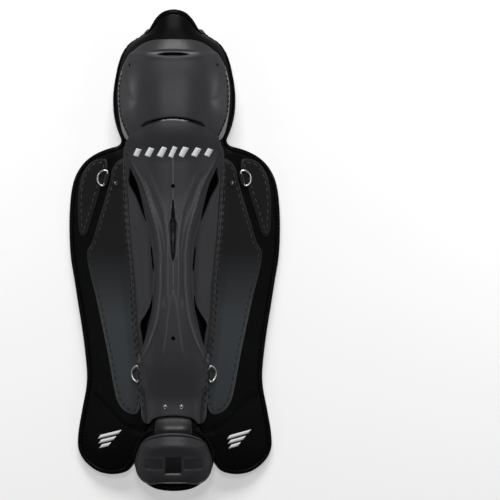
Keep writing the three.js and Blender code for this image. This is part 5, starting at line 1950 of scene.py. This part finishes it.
def build_stage() -> None:
    """A pale floor, soft lights from the sides and a camera straight above."""
    deselect()
    bpy.ops.mesh.primitive_plane_add(size=8.0, location=(0.0, 0.0, 0.0))
    floor = bpy.context.object
    floor.name = floor.data.name = "studio_floor"
    shader = Shader("pale_floor")
    cloud = shader.node("ShaderNodeTexNoise")
    shader.link(shader.place, cloud.inputs["Vector"])
    cloud.inputs["Scale"].default_value = 3.0
    shader.link(shader.blend(cloud.outputs["Fac"], (0.90, 0.90, 0.90), (0.93, 0.93, 0.93)),
                shader.surface.inputs["Base Color"])
    shader.set(Roughness=1.0, Specular_IOR_Level=0.0, Emission_Color=(1.0, 1.0, 1.0, 1.0), Emission_Strength=0.36)
    sides = shader.node("ShaderNodeNewGeometry")
    shader.link(shader.ramp(sides.outputs["Backfacing"], (0.0, 1.0), (1.0, 0.0)), shader.surface.inputs["Alpha"])
    floor.data.materials.append(shader.material)
    floor.visible_diffuse = floor.visible_glossy = floor.visible_shadow = False

    world = bpy.data.worlds.new("studio")
    world.use_nodes = True
    bpy.context.scene.world = world
    tree = world.node_tree
    back = tree.nodes["Background"]
    place = tree.nodes.new("ShaderNodeTexCoord")
    split = tree.nodes.new("ShaderNodeSeparateXYZ")
    ramp = tree.nodes.new("ShaderNodeMapRange")
    ramp.interpolation_type = "SMOOTHSTEP"
    tree.links.new(place.outputs["Generated"], split.inputs[0])
    tree.links.new(split.outputs["Z"], ramp.inputs["Value"])
    for key, value in (("From Min", 0.05), ("From Max", 0.70), ("To Min", 0.36), ("To Max", 0.035)):
        ramp.inputs[key].default_value = value
    tree.links.new(ramp.outputs["Result"], back.inputs["Strength"])
    back.inputs["Color"].default_value = (1.0, 1.0, 1.0, 1.0)

    lights = (
        # name, place, aim, width, height, watts
        ("key_softbox", (0.0, 2.6, 2.0), (0.0, 0.0, 0.0), 1.7, 1.4, 66.0),
        ("knee_softbox", (0.02, 0.24, 1.5), (0.0, 0.19, 0.0), 0.16, 0.20, 2.8),
        ("left_softbox", (-0.76, -0.17, 0.84), (-0.08, -0.12, 0.0), 0.28, 0.24, 0.45),
        ("right_softbox", (0.76, -0.17, 0.84), (0.08, -0.12, 0.0), 0.28, 0.24, 0.45),
        ("left_cheek_light", (-0.72, 0.28, 0.25), (-0.05, 0.20, 0.05), 0.12, 0.10, 0.6),
        ("right_cheek_light", (0.72, 0.28, 0.25), (0.05, 0.20, 0.05), 0.12, 0.10, 0.6),
        ("back_softbox", (0.0, 0.5, -2.2), (0.0, 0.0, 0.0), 1.5, 1.5, 34.0),
    )
    for name, spot, aim, width, height, watts in lights:
        lamp = bpy.data.lights.new(name, "AREA")
        lamp.shape = "RECTANGLE"
        lamp.size, lamp.size_y = width, height
        lamp.energy = watts
        holder = bpy.data.objects.new(name, lamp)
        holder.location = spot
        holder.rotation_euler = (Vector(aim) - Vector(spot)).to_track_quat("-Z", "Y").to_euler()
        # The light for the back would only show in the front as glare along the rims
        holder.visible_glossy = name != "back_softbox"
        bpy.context.scene.collection.objects.link(holder)

    camera = bpy.data.cameras.new("camera")
    camera.sensor_width = 36.0
    camera.lens = 36.0 * (3.0 - 0.05) / 0.625
    camera.clip_end = 20.0
    eye = bpy.data.objects.new("camera", camera)
    eye.location = (0.0954, 0.0, 3.0)
    bpy.context.scene.collection.objects.link(eye)
    bpy.context.scene.camera = eye
    bpy.context.scene.view_settings.view_transform = "Standard"


def main() -> None:
    """Build the guard piece by piece."""
    seat_form()
    log.info("form base %.2f mm", FORM.base)
    finishes = Finishes()
    pad = PaddedBody(finishes)
    pad.build()
    Liner(finishes).build()
    FootPad(finishes).build()
    shin = ShinShell("shin_shell_moulding", "shin_shell", finishes, SHIN_HALF, 5, 18, (96, 270))
    shin.build()
    Panels(finishes, shin).build()
    cap = KneeCap("knee_cap_moulding", "knee_cap", finishes, CAP_HALF, 4, 14, (120, 150),
                  finish_name="cap_shell")
    cap.build()
    foot = FootShell("foot_shell_moulding", "foot_shell", finishes, FOOT_SHELL_HALF, 5, 12, (90, 70))
    foot.build()
    tongue = Tongue("tongue_strip", "foot_tongue", finishes, TONGUE_HALF, 2, 6, (30, 40), wall=TONGUE_WALL,
                    seen_lift=8.0)
    tongue.build()
    Hardware(finishes).build()
    ShellStitches(finishes, shin, cap, foot).build()
    build_marks(finishes, shin, pad)
    build_stage()


if __name__ == "__main__":
    main()
